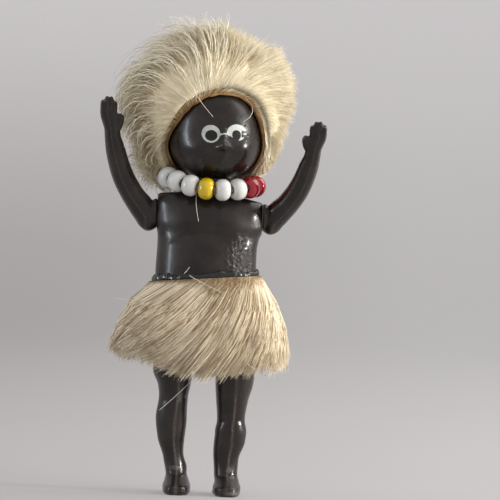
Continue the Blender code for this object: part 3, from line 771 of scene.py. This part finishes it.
headdress = {
    "middle": (0.0, 0.0, 92.5), "gap": 0.3, "hide": 1.2, "hair": 12.6, "back": 0.66,
    "rim": radians(80), "rimShare": 0.72, "undercoat": 0.66, "cover": 0.83, "inside": 0.15,
    "combedBack": 0.86, "crownCombed": 0.3,  # how far towards the rim the tips lie
}
opening = (  # direction round the head, angle from the back of the head
    (-90, 54), (-60, 72), (-42, 90), (-22, 99), (-6, 108), (11, 115), (28, 121), (46, 130),
    (62, 137), (82, 143), (104, 146), (129, 146), (151, 142), (170, 136), (184, 127), (195, 115),
    (207, 104), (222, 98), (238, 80),
)
outline = (  # direction round the head, share of the hair's length
    (-90, 0.2), (-60, 0.22), (-18, 0.3), (8, 0.5), (20, 0.68), (42, 0.9), (60, 0.97), (84, 0.92),
    (107, 0.97), (128, 1.0), (150, 1.09), (168, 0.92), (189, 0.68), (207, 0.54), (225, 0.55),
    (240, 0.4), (250, 0.25),
)
combing = (  # direction round the head, how far the hair lies over near the roots and at the tips, in degrees
    (-90, 0, 0), (-40, -20, -16), (-15, -30, -22), (10, -26, -18), (45, -30, -20), (80, -46, -26),
    (105, -40, -16), (130, -52, -6), (158, -48, 8), (180, -8, 12), (200, 10, 8), (225, 12, 6), (250, 0, 0),
    (270, 0, 0),
)
hideRings = (  # share of the hide's depth, degrees back from its edge
    (0.2, 12), (0.7, 8), (0.96, 4.5), (0.97, 1.8), (0.78, 0.4), (0.4, 0.0), (0.1, 0.2), (0.0, 1.0), (0.0, 12),
)
headTree = surfaceOf(head)
crown = place(*headdress["middle"])


def towards(polar, turn):
    return Vector((sin(polar) * cos(turn), cos(polar), sin(polar) * sin(turn)))


def overHead(polar, turn, lift):  # a point above the head's surface, by millimetres
    way = towards(polar, turn)
    return crown + way * ((headTree.ray_cast(crown, way)[0] - crown).length + lift * mm)


def edgeAt(turn):
    return radians(keyedRound(opening, turn))


def rimAt(turn):  # where the hair is at its fullest
    return min(headdress["rim"], edgeAt(turn) * headdress["rimShare"])


def furDepth(polar, turn):
    edge, rim = edgeAt(turn), rimAt(turn)
    bulge = max(0.0, sin(pi / 2 * min(1.0, (edge - polar) / (edge - rim)))) ** 0.75
    behind = eased(polar / rim)
    share = headdress["back"] * (1 - behind) + keyedRound(outline, turn) * behind
    return headdress["hair"] * share * bulge


def inFur(polar, turn, share):  # a point in the headdress's hair, by the share of its depth
    return overHead(polar, turn, headdress["gap"] + headdress["hide"] + furDepth(polar, turn) * share)


def hideDepth(turn):  # thicker at the doll's left temple
    return 0.6 + 0.55 * bump((degreesRound(turn) - 8) / 34, 1.0)


def makeHide():
    made, board, shader, spot = newFinish("tannedHide", Roughness=0.55)
    tanned = board.mix(board.noise(spot, 1.5, 4.0), (0.11, 0.045, 0.013), (0.36, 0.19, 0.06))
    tanned = board.mix(spot.part(2).between(97.0, 101.0) * 0.5, tanned, (0.5, 0.3, 0.1))
    tanned = board.mix(board.noise(spot, 0.3, 3.0, 0.6).between(0.5, 0.7), tanned, (0.04, 0.018, 0.008))
    feed(board, shader, "Base Color", tanned)
    feed(board, shader, "Normal", board.relief(0.6, 0.0002, board.noise(spot, 0.35, 3.0, 0.6)))

    def hidePoint(share, back, t):
        ragged = radians(1.3) * noise.noise(Vector((cos(t) * 6, sin(t) * 6, 4.0)))
        lift = headdress["gap"] + 0.04 + hideDepth(t) * share
        return overHead(edgeAt(t) - radians(back) + ragged, t, lift)

    rings = [[hidePoint(share, back, t) for t in turnsRound(160)] for share, back in hideRings]
    hide = skinned("hide_edge", rings, made, closed=True)
    ready(hide, "cream_fur", "fur_headdress")


def furFinish(name, root, middle, tip, dark, rootEnd=0.16):
    made, board, shader, spot = newFinish(name, Roughness=0.5, IOR=1.4)
    along, tone = board.kept("along"), board.kept("tone")
    patch = board.noise(spot, 5.0, 3.0, 0.55)
    colour = board.mix(tone.between(0.1, 0.75), middle, tip)
    colour = board.mix(along.between(0.3, 1.0) * 0.5, colour, tip)
    golden = (tone.between(0.36, 0.06) * 0.85 + patch.between(0.5, 0.72) * 0.35).least(1.0)
    colour = board.mix(golden, colour, dark)
    colour = board.mix(along.between(rootEnd, 0.0), colour, root)
    feed(board, shader, "Base Color", colour)
    return made


def coatFinish(name, dark, middle, light):  # the mass of the fur, streaked along its flow
    made, board, shader, spot = newFinish(name, Roughness=0.7)
    flow = board.kept("flow", 1)
    fine = board.noise(flow, 0.16, 2.0, 0.6)
    broad = board.noise(flow, 0.7, 3.0, 0.6)
    colour = board.mix(fine.between(0.35, 0.65), dark, middle)
    colour = board.mix((broad * 0.6 + fine * 0.4).between(0.48, 0.62), colour, light)
    feed(board, shader, "Base Color", colour)
    feed(board, shader, "Normal", board.relief(0.8, 0.0004, fine + broad))
    return made


def keepVectors(data, label, vectors):  # one vector for each point of a mesh
    kept = data.attributes.new(label, "FLOAT_VECTOR", "POINT")
    kept.data.foreach_set("vector", [c for vector in vectors for c in vector])


def makeCoat(name, pointAt, flowAt, rings, sides, finish):
    grid, flows = [], []
    for k in range(rings):
        spots = [(k / (rings - 1), turn) for turn in turnsRound(sides)]
        found = [flowAt(*spot) for spot in spots]
        grid.append([pointAt(*spot, flow) for spot, flow in zip(spots, found)])
        flows += found
    coat = skinned(name, grid, finish, closed=True, merge=False)
    keepVectors(coat.data, "flow", flows)
    ready(coat, "cream_fur")
    print(name, len(coat.data.polygons), "faces")


furInputs = {
    "Geometry": ("Skin",), "Material": ("Finish",), "Int": ("Seed", "Points"),
    "Float": ("Density", "Thickness", "Shortest", "Lock Size", "Lock Pull", "Curl Radius", "Curl Turns",
              "Wander", "Loose"),
}


def furTree():  # strands from a skin's roots towards its finish points, in locks, curled and a little astray
    tree = bpy.data.node_groups.new("furStrands", "GeometryNodeTree")
    board = Board(tree)
    for kind, labels in furInputs.items():
        for label in labels:
            tree.interface.new_socket(label, in_out="INPUT", socket_type="NodeSocket" + kind)
    tree.interface.new_socket("Fur", in_out="OUTPUT", socket_type="NodeSocketGeometry")
    given = tree.nodes.new("NodeGroupInput")

    def asked(label):
        return Wire(board, given.outputs[label])

    def step(kind, **inputs):
        spaced = {key.replace("_", " "): value for key, value in inputs.items()}
        return board.add("GeometryNode" + kind, {}, spaced)

    def named(label, kind="FLOAT"):
        return board.add("GeometryNodeInputNamedAttribute", {"data_type": kind}, {"Name": label})

    def random(low, high, seed):
        return board.add("FunctionNodeRandomValue", {"data_type": "FLOAT"}, {2: low, 3: high, 8: seed}, 1)

    def stored(geometry, label, value, kind="FLOAT"):
        return board.add("GeometryNodeStoreNamedAttribute", {"data_type": kind, "domain": "POINT"},
                         {"Geometry": geometry, "Name": label, "Value": value})

    def vectors(operation, first, second):
        return board.add("ShaderNodeVectorMath", {"operation": operation}, {0: first, 1: second})

    def square(first, second):  # a direction at right angles to both
        return vectors("CROSS_PRODUCT", first, second).unit()

    ends = {0: (-1, -1, -1), 1: (1, 1, 1), 8: 11}
    roots = step("DistributePointsOnFaces", Mesh=asked("Skin"), Density=asked("Density"), Seed=asked("Seed"))
    roots = stored(roots, "root", step("InputPosition"), "FLOAT_VECTOR")
    roots = stored(roots, "reach", random(asked("Shortest"), 1.0, 3))
    roots = stored(roots, "tone", random(0.0, 1.0, 7))
    roots = stored(roots, "girth", random(0.6, 1.3, 17))
    sideways = board.add("FunctionNodeRandomValue", {"data_type": "FLOAT_VECTOR"}, ends)
    roots = stored(roots, "stray", sideways, "FLOAT_VECTOR")
    line = step("CurvePrimitiveLine", Start=(0, 0, 0), End=(0, 0, 0.001))
    line = step("ResampleCurve", Curve=line, Count=asked("Points"))
    strands = step("RealizeInstances", Geometry=step("InstanceOnPoints", Points=roots, Instance=line))
    factor = step("SplineParameter")
    root, start, finish = (named(label, "FLOAT_VECTOR") for label in ("root", "start", "finish"))
    reached = factor * named("reach")
    cells = {"Vector": root, "Scale": 1.0 / asked("Lock Size"), "Randomness": 1.0}
    lockMiddle = board.add("ShaderNodeTexVoronoi", {}, cells, 2)
    phase = board.add("ShaderNodeTexNoise", {}, {"Vector": root, "Scale": 260.0, "Detail": 0.0}) * 40.0
    gusts = {"Vector": root, "Scale": 240.0, "Detail": 2.0, "Roughness": 0.6}
    gust = vectors("SUBTRACT", board.add("ShaderNodeTexNoise", {}, gusts, 1), (0.5, 0.5, 0.5))
    path = root + start * reached + (finish - start) * (reached * reached)
    path = path + (lockMiddle - root) * (asked("Lock Pull") * reached ** 1.3)
    upright = square(finish, (0.31, 0.2, 0.93))
    beside = square(finish, upright)
    turned = reached * asked("Curl Turns") * (2 * pi) + phase
    radius = asked("Curl Radius") * reached
    path = path + upright * (turned.alone("SINE") * radius) + beside * (turned.alone("COSINE") * radius)
    path = path + gust * (asked("Wander") * reached * reached * 4.0)
    path = path + named("stray", "FLOAT_VECTOR") * (asked("Wander") * reached * reached * asked("Loose"))
    strands = stored(step("SetPosition", Geometry=strands, Position=path), "along", factor)
    profile = step("CurvePrimitiveCircle", Resolution=3, Radius=0.5)
    taper = asked("Thickness") * named("girth") * (1.0 - factor ** 2.0 * 0.7)
    fur = step("CurveToMesh", Curve=strands, Profile_Curve=profile, Scale=taper, Fill_Caps=True)
    fur = step("RealizeInstances", Geometry=step("SetShadeSmooth", Geometry=fur))
    fur = step("SetMaterial", Geometry=fur, Material=asked("Finish"))
    sink = tree.nodes.new("NodeGroupOutput")
    tree.links.new(fur.socket, sink.inputs["Fur"])
    return tree


def grown(name, skinPoints, faces, starts, finishes, tree, finish, **amounts):  # hair on a part of the hide
    data = bpy.data.meshes.new(name)
    data.from_pydata([tuple(p) for p in skinPoints], [], faces)
    keepVectors(data, "start", starts)
    keepVectors(data, "finish", finishes)
    made = bpy.data.objects.new(name, data)
    scene.collection.objects.link(made)
    modifier = made.modifiers.new("fur", "NODES")
    modifier.node_group = tree
    labels = {item.name: item.identifier for item in tree.interface.items_tree if item.in_out == "INPUT"}
    for label, value in amounts.items():
        modifier[labels[label.replace("_", " ")]] = value
    modifier[labels["Finish"]] = finish
    workIn(made)
    ready(made, "cream_fur")
    print(name, len(made.data.polygons), "faces")


def comb(turn, column):  # how far the hair lies over, near the roots at column 0 and at the tips at 1
    return radians(keyed(combing, degreesRound(turn))[column])


def bent(root, middle, tip):  # a hair's root, first direction and finish, on a curve through the middle
    finish = tip - root
    return root, (middle - root) * 4 - finish, finish


def headHair(polar, turn, reach):
    edge, rim = edgeAt(turn), rimAt(turn)
    front = eased((polar - 0.3 * rim) / (0.8 * rim))
    lift = headdress["gap"] + hideDepth(turn) + 0.5 * clamp((edge - polar) / radians(6))
    tipPolar = polar + (rim - polar) * (headdress["combedBack"] if polar > rim else headdress["crownCombed"])
    middlePolar = polar + (tipPolar - polar) * 0.5
    middleTurn = turn + (comb(turn, 0) * 0.3 + comb(turn, 1) * 0.35) * front
    middle = inFur(middlePolar, middleTurn, reach * headdress["cover"])
    tip = inFur(tipPolar, turn + comb(turn, 1) * front, reach)
    return bent(overHead(polar, turn, lift), middle, tip)


def patch(spans, columns, rows, sample):  # roots, directions, tips and faces over a part of the hide
    points, starts, finishes, faces = [], [], [], []
    for j in range(rows + 1):
        for k in range(columns + 1):
            root, start, tip = sample(radians(spans[0] + (spans[1] - spans[0]) * k / columns), j / rows)
            points.append(root)
            starts.append(start)
            finishes.append(tip)
    for j in range(rows):
        for k in range(columns):
            a = j * (columns + 1) + k
            faces.append((a, a + 1, a + columns + 2, a + columns + 1))
    return points, faces, starts, finishes


def makeHeadHair(tree):
    zones = {  # turns in degrees from the doll's left, shares of the way to the edge, and how it grows
        "headdress_fur_left": ((-90, 80), (0.5, 1.0), dict(
            Density=1.75e7, Points=4, Curl_Radius=0.0003, Curl_Turns=0.6, Wander=0.0022, Lock_Pull=0.3)),
        "headdress_fur_top": ((80, 150), (0.5, 1.0), dict(
            Density=1.6e7, Points=5, Curl_Radius=0.0008, Curl_Turns=0.8, Wander=0.004, Lock_Pull=0.35)),
        "headdress_fur_right": ((150, 270), (0.5, 1.0), dict(
            Density=1.4e7, Points=5, Curl_Radius=0.0015, Curl_Turns=0.8, Wander=0.0055, Lock_Pull=0.55)),
        "headdress_fur_back": ((-90, 270), (0.0, 0.5), dict(
            Density=7.0e6, Points=4, Curl_Radius=0.0005, Curl_Turns=0.8, Wander=0.003, Lock_Pull=0.3)),
        "headdress_curls": ((108, 236), (0.55, 1.0), dict(
            Density=2.2e6, Points=8, Curl_Radius=0.0034, Curl_Turns=0.8, Wander=0.006, Lock_Pull=0.75)),
    }
    reaches = {"headdress_curls": 0.97, "headdress_fur_top": 0.84, "headdress_fur_right": 0.92}
    for seed, (name, (span, shares, growth)) in enumerate(zones.items()):
        def sample(turn, j):
            polar = edgeAt(turn) * (shares[0] + (shares[1] - shares[0]) * j) - radians(0.8)
            return headHair(max(polar, 0.02), turn, reaches.get(name, 0.95))

        curls = "curls" in name
        # the side on the doll's right takes a darker, more olive finish: partly the fur's own tone, partly
        # painted shade away from the key light
        finish = paleCoat if curls else oliveShadedCoat if "right" in name else furCoat
        grown(name, *patch(span, 60, 24, sample), tree, finish, Seed=seed + 4,
              Thickness=0.00022 if curls else 0.00014, Shortest=0.68, Lock_Size=0.0026, Loose=0.3, **growth)


makeHide()
coats = {  # root, middle, tip, dark hairs and how far up the root's colour reaches
    "creamFur": ((0.54, 0.38, 0.18), (0.76, 0.66, 0.44), (0.94, 0.87, 0.68), (0.56, 0.43, 0.24), 0.1),
    "paleFur": ((0.56, 0.43, 0.24), (0.84, 0.77, 0.58), (0.92, 0.87, 0.71), (0.74, 0.63, 0.43), 0.16),
    # the next finish is darker and more olive: partly the fur's own tone, partly painted shade
    "oliveShadedFur": ((0.42, 0.29, 0.12), (0.56, 0.46, 0.28), (0.78, 0.69, 0.48), (0.42, 0.31, 0.16), 0.14),
    "looseFur": ((0.72, 0.67, 0.59), (0.72, 0.67, 0.59), (0.8, 0.75, 0.66), (0.62, 0.55, 0.45), 0.16),
    "skirtFur": ((0.26, 0.14, 0.05), (0.56, 0.43, 0.25), (0.9, 0.8, 0.61), (0.27, 0.155, 0.06), 0.03),
}
furCoat, paleCoat, oliveShadedCoat, looseCoat, skirtFur = (furFinish(name, *tones) for name, tones in coats.items())
massCoat = coatFinish("furMass", (0.6, 0.49, 0.3), (0.74, 0.64, 0.43), (0.84, 0.76, 0.56))


def locksAt(flow, broad, fine):  # uneven locks along the hair, about -1 to 1
    wide, narrow = (Vector([c * k for c, k in zip(flow, scale)]) for scale in (broad, fine))
    return noise.noise(wide) + 0.5 * noise.noise(narrow)


def headCoatFlow(share, turn):
    edge, rim = edgeAt(turn), rimAt(turn)
    outer = 1 - headdress["inside"]
    polar = edge * min(1.0, share / outer)
    across = turn - comb(turn, 1) * clamp((edge - polar) / (edge - rim))
    return (cos(across) * 14.0, sin(across) * 14.0, polar * 1.4 + (3.0 if share > outer else 0.0))


def headCoat(share, turn, flow):  # out over the hide and back inside it
    edge = edgeAt(turn)
    outer = 1 - headdress["inside"]
    outwards = share / outer if share < outer else (1 - share) / headdress["inside"]
    polar = max(0.02, (edge - radians(2.2)) * outwards)
    if share >= outer:
        return overHead(polar, turn, headdress["gap"] + 0.3)
    locks = locksAt(flow, (0.32, 0.32, 0.4), (0.9, 0.9, 0.6))
    depth = furDepth(polar, turn) * headdress["undercoat"]
    near = hideDepth(turn) + 0.1 + 0.45 * clamp((edge - polar) / radians(6))
    return overHead(polar, turn, headdress["gap"] + near + depth * (1 + 0.12 * locks))


makeCoat("headdress_undercoat", headCoat, headCoatFlow, 46, 120, massCoat)
strandTree = furTree()
makeHeadHair(strandTree)
print("the headdress is made")

skirt = {
    "top": 54.3, "hair": 24.5, "flare": 8.4, "wall": 4.2, "lean": 0.085, "sweep": radians(20),
    "shift": -0.9, "depth": 0.62, "hide": 1.2, "full": 0.6, "outside": 0.6, "coatDrop": 0.94,
}
hem = ((-90, 1.0), (-45, 0.98), (0, 0.96), (90, 0.94), (150, 0.8), (180, 0.68), (225, 0.78), (250, 0.94))
skirtCombing = (  # direction round the body, how far the hair goes round it from root to tip, in degrees
    (-90, -80), (-72, -64), (-50, -50), (-24, -36), (-8, -12), (6, 2), (60, 6), (110, 2), (150, -12),
    (180, -34), (210, -62), (240, -80),
)


def drapedOver(turn, drop):  # on the body, or straight down where it draws back
    halfWidth = front = back = 0.0
    hang = skirt["hair"] * drop * keyedRound(hem, turn)
    sway = keyed(torsoKeys, skirt["top"])[3]
    for k in range(9):
        here = keyed(torsoKeys, skirt["top"] - hang * k / 8)
        halfWidth, front, back = (max(a, b) for a, b in zip((halfWidth, front, back), here))
    depth = front if sin(turn) < 0 else back
    across = torsoSizes["shift"] + sway + (halfWidth + 0.3) * cos(turn)
    return Vector((across, (depth + 0.3) * sin(turn), skirt["top"] - hang))


def hanging(turn, drop, share):  # a point of the skirt; share 1 is its outside and 0 its inside
    flare = skirt["flare"] * (1 - (1 - drop) ** 2)
    flare *= skirt["depth"] + (1 - skirt["depth"]) * cos(turn) ** 2
    outer = flare + skirt["hide"] * (1 - drop)
    inner = max(0.0, flare - skirt["wall"] * eased(drop / skirt["full"]))
    swept = turn + skirt["sweep"] * drop * min(0.0, sin(turn)) / 2
    point = drapedOver(turn, drop) + Vector((cos(swept), sin(swept), 0.0)) * (inner + (outer - inner) * share)
    point.x += skirt["shift"] * drop
    point.z += skirt["lean"] * point.x
    return place(*point)


def skirtDrop(share):  # down the outside and up again inside
    outside = skirt["outside"]
    return skirt["coatDrop"] * (share / outside if share < outside else (1 - share) / (1 - outside))


def skirtCoatFlow(share, turn):
    drop = skirtDrop(share)
    across = turn - radians(keyedRound(skirtCombing, turn - radians(20))) * drop
    return (cos(across) * 17.0, sin(across) * 17.0, drop * 4.0 + (9.0 if share > skirt["outside"] else 0.0))


def skirtCoat(share, turn, flow):
    drop, outside = skirtDrop(share), share < skirt["outside"]
    locks = locksAt(flow, (0.35, 0.35, 0.3), (1.0, 1.0, 0.5))
    point = hanging(turn, drop, (0.8 + 0.16 * locks * eased(drop * 3)) if outside else 0.05)
    point.z += 1.1 * mm * locks * drop ** 3
    return point


def skirtHair(turn, drop):
    aside = radians(keyedRound(skirtCombing, turn)) * (1 - drop)
    middle = hanging(turn + aside * 0.5, drop + (1.0 - drop) * 0.5, 0.96 + 0.1 * (1 - drop))
    return bent(hanging(turn, drop, 0.75), middle, hanging(turn + aside, 1.0, 0.92))


def makeSkirtHair(tree, finish):
    zones = {
        "skirt_fur_front_right": (-185, -95, 2.1e7), "skirt_fur_front_left": (-95, 0, 1.8e7),
        "skirt_fur_back": (0, 175, 0.55e7),
    }
    for seed, (name, (first, last, density)) in enumerate(zones.items()):
        def sample(turn, j):
            return skirtHair(turn, 0.01 + 0.6 * j ** 1.5)

        grown(name, *patch((first, last), 60, 16, sample), tree, finish, Seed=seed + 20,
              Density=density, Thickness=0.00019, Shortest=0.74, Lock_Size=0.0026, Lock_Pull=0.6, Points=4,
              Curl_Radius=0.0002, Curl_Turns=0.4, Wander=0.0014, Loose=0.6)


# the skirt's mass is far darker than its strands: painted shade for the gaps between them, where the fur's
# depth lies in shadow
shadedSkirtMass = coatFinish("shadedSkirtMass", (0.1, 0.055, 0.022), (0.34, 0.23, 0.11), (0.52, 0.41, 0.25))
makeCoat("skirt_undercoat", skirtCoat, skirtCoatFlow, 40, 110, shadedSkirtMass)
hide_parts("fur_skirt")
makeSkirtHair(strandTree, skirtFur)


glue = {"rings": 240, "sides": 12, "height": 0.95, "depth": 0.55, "rough": 0.45, "fine": 0.3, "up": 0.35}


def makeGlue():
    made, board, shader, spot = newFinish("blackGlue", Roughness=0.14, Coat_Weight=0.1)
    black = board.mix(board.noise(spot, 1.2), (0.006, 0.006, 0.006), (0.02, 0.019, 0.018))
    feed(board, shader, "Base Color", black)
    rings = []
    for turn in turnsRound(glue["rings"]):
        outwards = Vector((cos(turn), sin(turn), 0.0))
        rough = noise.noise(Vector((cos(turn) * 5, sin(turn) * 5, 0.3)))
        fine = noise.noise(Vector((cos(turn) * 18, sin(turn) * 18, 2.3)))
        centre = hanging(turn, 0.0, 0.0)
        centre.z += (glue["up"] + glue["rough"] * rough) * mm
        height = (glue["height"] + glue["rough"] * rough + glue["fine"] * fine) * mm
        depth = (glue["depth"] + 0.2 * rough + 0.2 * fine) * mm
        ring = []
        for around in turnsRound(glue["sides"]):
            knob = 1 + 0.25 * noise.noise(Vector((cos(turn) * 22, sin(turn) * 22, around * 0.8)))
            upward = Vector((0, 0, height * knob * sin(around)))
            ring.append(centre + outwards * (depth * knob * cos(around) - 0.1 * mm) + upward)
        rings.append(ring)
    ready(skinned("glue_line", rings, made, closed=True), "dark_plastic")


makeGlue()
print("the skirt is made")

necklace = {
    "halfWidth": 11.2, "halfDepth": 9.35, "y": 0.7, "height": 78.45, "hang": 2.1, "lean": 0.075,
    "beads": 16, "first": 0.75, "colours": "wwrrwwywwrwwwwwy",
    "bead": 5.5, "length": 3.9, "bore": 1.6, "ply": 0.15, "apart": 0.14, "twists": 50, "steps": 480,
}
glasses = {  # finish, slot and colour
    "w": ("whiteGlass", "white_glass", (0.64, 0.64, 0.61)),
    "y": ("yellowGlass", "yellow_glass", (0.6, 0.41, 0.0)),
    "r": ("redGlass", "red_glass", (0.34, 0.002, 0.014)),
}


def necklacePoint(turn):
    x = necklace["halfWidth"] * sin(turn)
    hang = necklace["hang"] * max(0.0, cos(turn)) ** 2
    y = necklace["y"] - necklace["halfDepth"] * cos(turn)
    return place(torsoSizes["shift"] + x, y, necklace["height"] - hang - necklace["lean"] * x)


route = [necklacePoint(2 * pi * k / 720) for k in range(721)]
routeLengths = [0.0]
for before, after in zip(route, route[1:]):
    routeLengths.append(routeLengths[-1] + (after - before).length)


def onRoute(share):
    goal = share % 1.0 * routeLengths[-1]
    i = max(n for n in range(720) if routeLengths[n] <= goal)
    t = (goal - routeLengths[i]) / (routeLengths[i + 1] - routeLengths[i])
    return route[i].lerp(route[i + 1], t), (route[i + 1] - route[i]).normalized()


def makeBeads():
    finishes = {}
    for key, (name, _, colour) in glasses.items():
        made, board, shader, spot = newFinish(name, Roughness=0.12, Coat_Weight=0.8, Coat_Roughness=0.05)
        worn = board.noise(spot, 2.5, 3.0).between(0.5, 0.8) * 0.5
        feed(board, shader, "Base Color", board.mix(worn, colour, tuple(0.75 * c for c in colour)))
        finishes[key] = made
    bore, wall, length = necklace["bore"] / 2, (necklace["bead"] - necklace["bore"]) / 2, necklace["length"]
    for k, key in enumerate(necklace["colours"]):
        centre, along = onRoute((necklace["first"] + k) / necklace["beads"])
        turned = along.to_track_quat("Z", "Y").to_matrix()
        rings = []
        for turn in turnsRound(18):
            radius = bore + wall * (0.25 + (0.75 if cos(turn) > 0 else 0.25) * cos(turn))
            reach = length * 0.48 * signedPower(sin(turn), 0.9)
            ring = [Vector((radius * cos(a), radius * sin(a), reach)) for a in turnsRound(28)]
            rings.append([centre + turned @ point * mm for point in ring])
        bead = skinned(f"glass_bead_{k + 1:02d}", rings, finishes[key], closed=True)
        ready(bead, glasses[key][1], f"bead_{k + 1:02d}")


def tubeRing(centre, across, upward, radius, sides):
    return [centre + (across * cos(a) + upward * sin(a)) * radius for a in turnsRound(sides)]


def makeThread():
    made, board, shader, spot = newFinish("cottonThread", Roughness=0.85)
    feed(board, shader, "Base Color", board.mix(board.noise(spot, 0.4), (0.5, 0.47, 0.4), (0.7, 0.67, 0.6)))
    plies = []
    for ply in (0, 1):
        rings = []
        for k in range(necklace["steps"]):
            centre, along = onRoute(k / necklace["steps"])
            across = along.cross(Vector((0, 0, 1))).normalized()
            upward = across.cross(along)
            twist = 2 * pi * k / necklace["steps"] * necklace["twists"] + pi * ply
            middle = centre + (across * cos(twist) + upward * sin(twist)) * necklace["apart"] * mm
            rings.append(tubeRing(middle, across, upward, necklace["ply"] * mm, 6))
        plies.append(skinned(f"ply_{ply}", rings, made, closed=True))
    ready(joined("twisted_thread", plies), "cotton", "necklace_thread")


makeBeads()
makeThread()
print("the necklace is made")

strays = (  # single loose hairs, by points across and up in millimetres
    ((-5.1, 99.8), (-3.0, 97.0), (-0.4, 94.0)),
    ((5.7, 100.2), (7.9, 98.9), (9.2, 96.4), (8.7, 94.7), (6.9, 93.2)),
    ((-4.0, 75.5), (-3.9, 72.7), (-3.1, 68.2)), ((-4.8, 54.8), (-1.0, 52.9), (2.9, 51.2)),
    ((-6.1, 55.3), (-5.4, 56.1), (-4.9, 56.9)), ((8.4, 35.1), (12.0, 32.5), (15.9, 29.9)),
    ((-11.1, 21.0), (-7.0, 24.9), (-3.5, 28.5)), ((-23.1, 48.4), (-19.4, 48.2), (-15.4, 48.2)),
    ((-18.1, 96.7), (-14.7, 97.6), (-11.0, 96.7)), ((-21.5, 88.5), (-18.5, 90.4), (-14.6, 89.7)),
)


strayHair = {
    "steps": 24, "above": 0.9, "root": 0.09, "tip": 0.054, "spread": 4, "behind": -6.0,
    "on": ("moulded_head", "moulded_torso", "moulded_left_leg", "moulded_right_leg", "headdress_undercoat",
           "skirt_undercoat"),
}


def makeStrays():  # each hair lies in front of what is behind it
    behind = [surfaceOf(bpy.data.objects[name]) for name in strayHair["on"]]
    last, spread = strayHair["steps"], strayHair["spread"]
    tubes = []
    for number, stray in enumerate(strays):
        numbered = [(k, *point) for k, point in enumerate(stray)]
        line = []
        for k in range(last + 1):
            x, z = keyed(numbered, (len(stray) - 1) * k / last)
            point = place(x, 0.0, z)
            start = Vector((point.x, -0.1, point.z))
            hits = [hit for hit in (tree.ray_cast(start, Vector((0, 1, 0)))[0] for tree in behind) if hit]
            line.append([point.x, min((hit.y for hit in hits), default=strayHair["behind"] * mm), point.z])
        nearest = [min(spot[1] for spot in line[max(0, k - spread):k + spread + 1]) for k in range(last + 1)]
        points = [Vector((x, y - strayHair["above"] * mm, z)) for (x, _, z), y in zip(line, nearest)]
        rings = []
        for k, point in enumerate(points):
            along = (points[min(last, k + 1)] - points[max(0, k - 1)]).normalized()
            across = along.cross(Vector((0, 1, 0))).normalized()
            radius = strayHair["root"] + (strayHair["tip"] - strayHair["root"]) * k / last
            rings.append(tubeRing(point, across, across.cross(along), radius * mm, 5))
        tubes.append(skinned(f"stray_{number}", rings, looseCoat))
    ready(joined("stray_hairs", tubes), "cream_fur")


makeStrays()
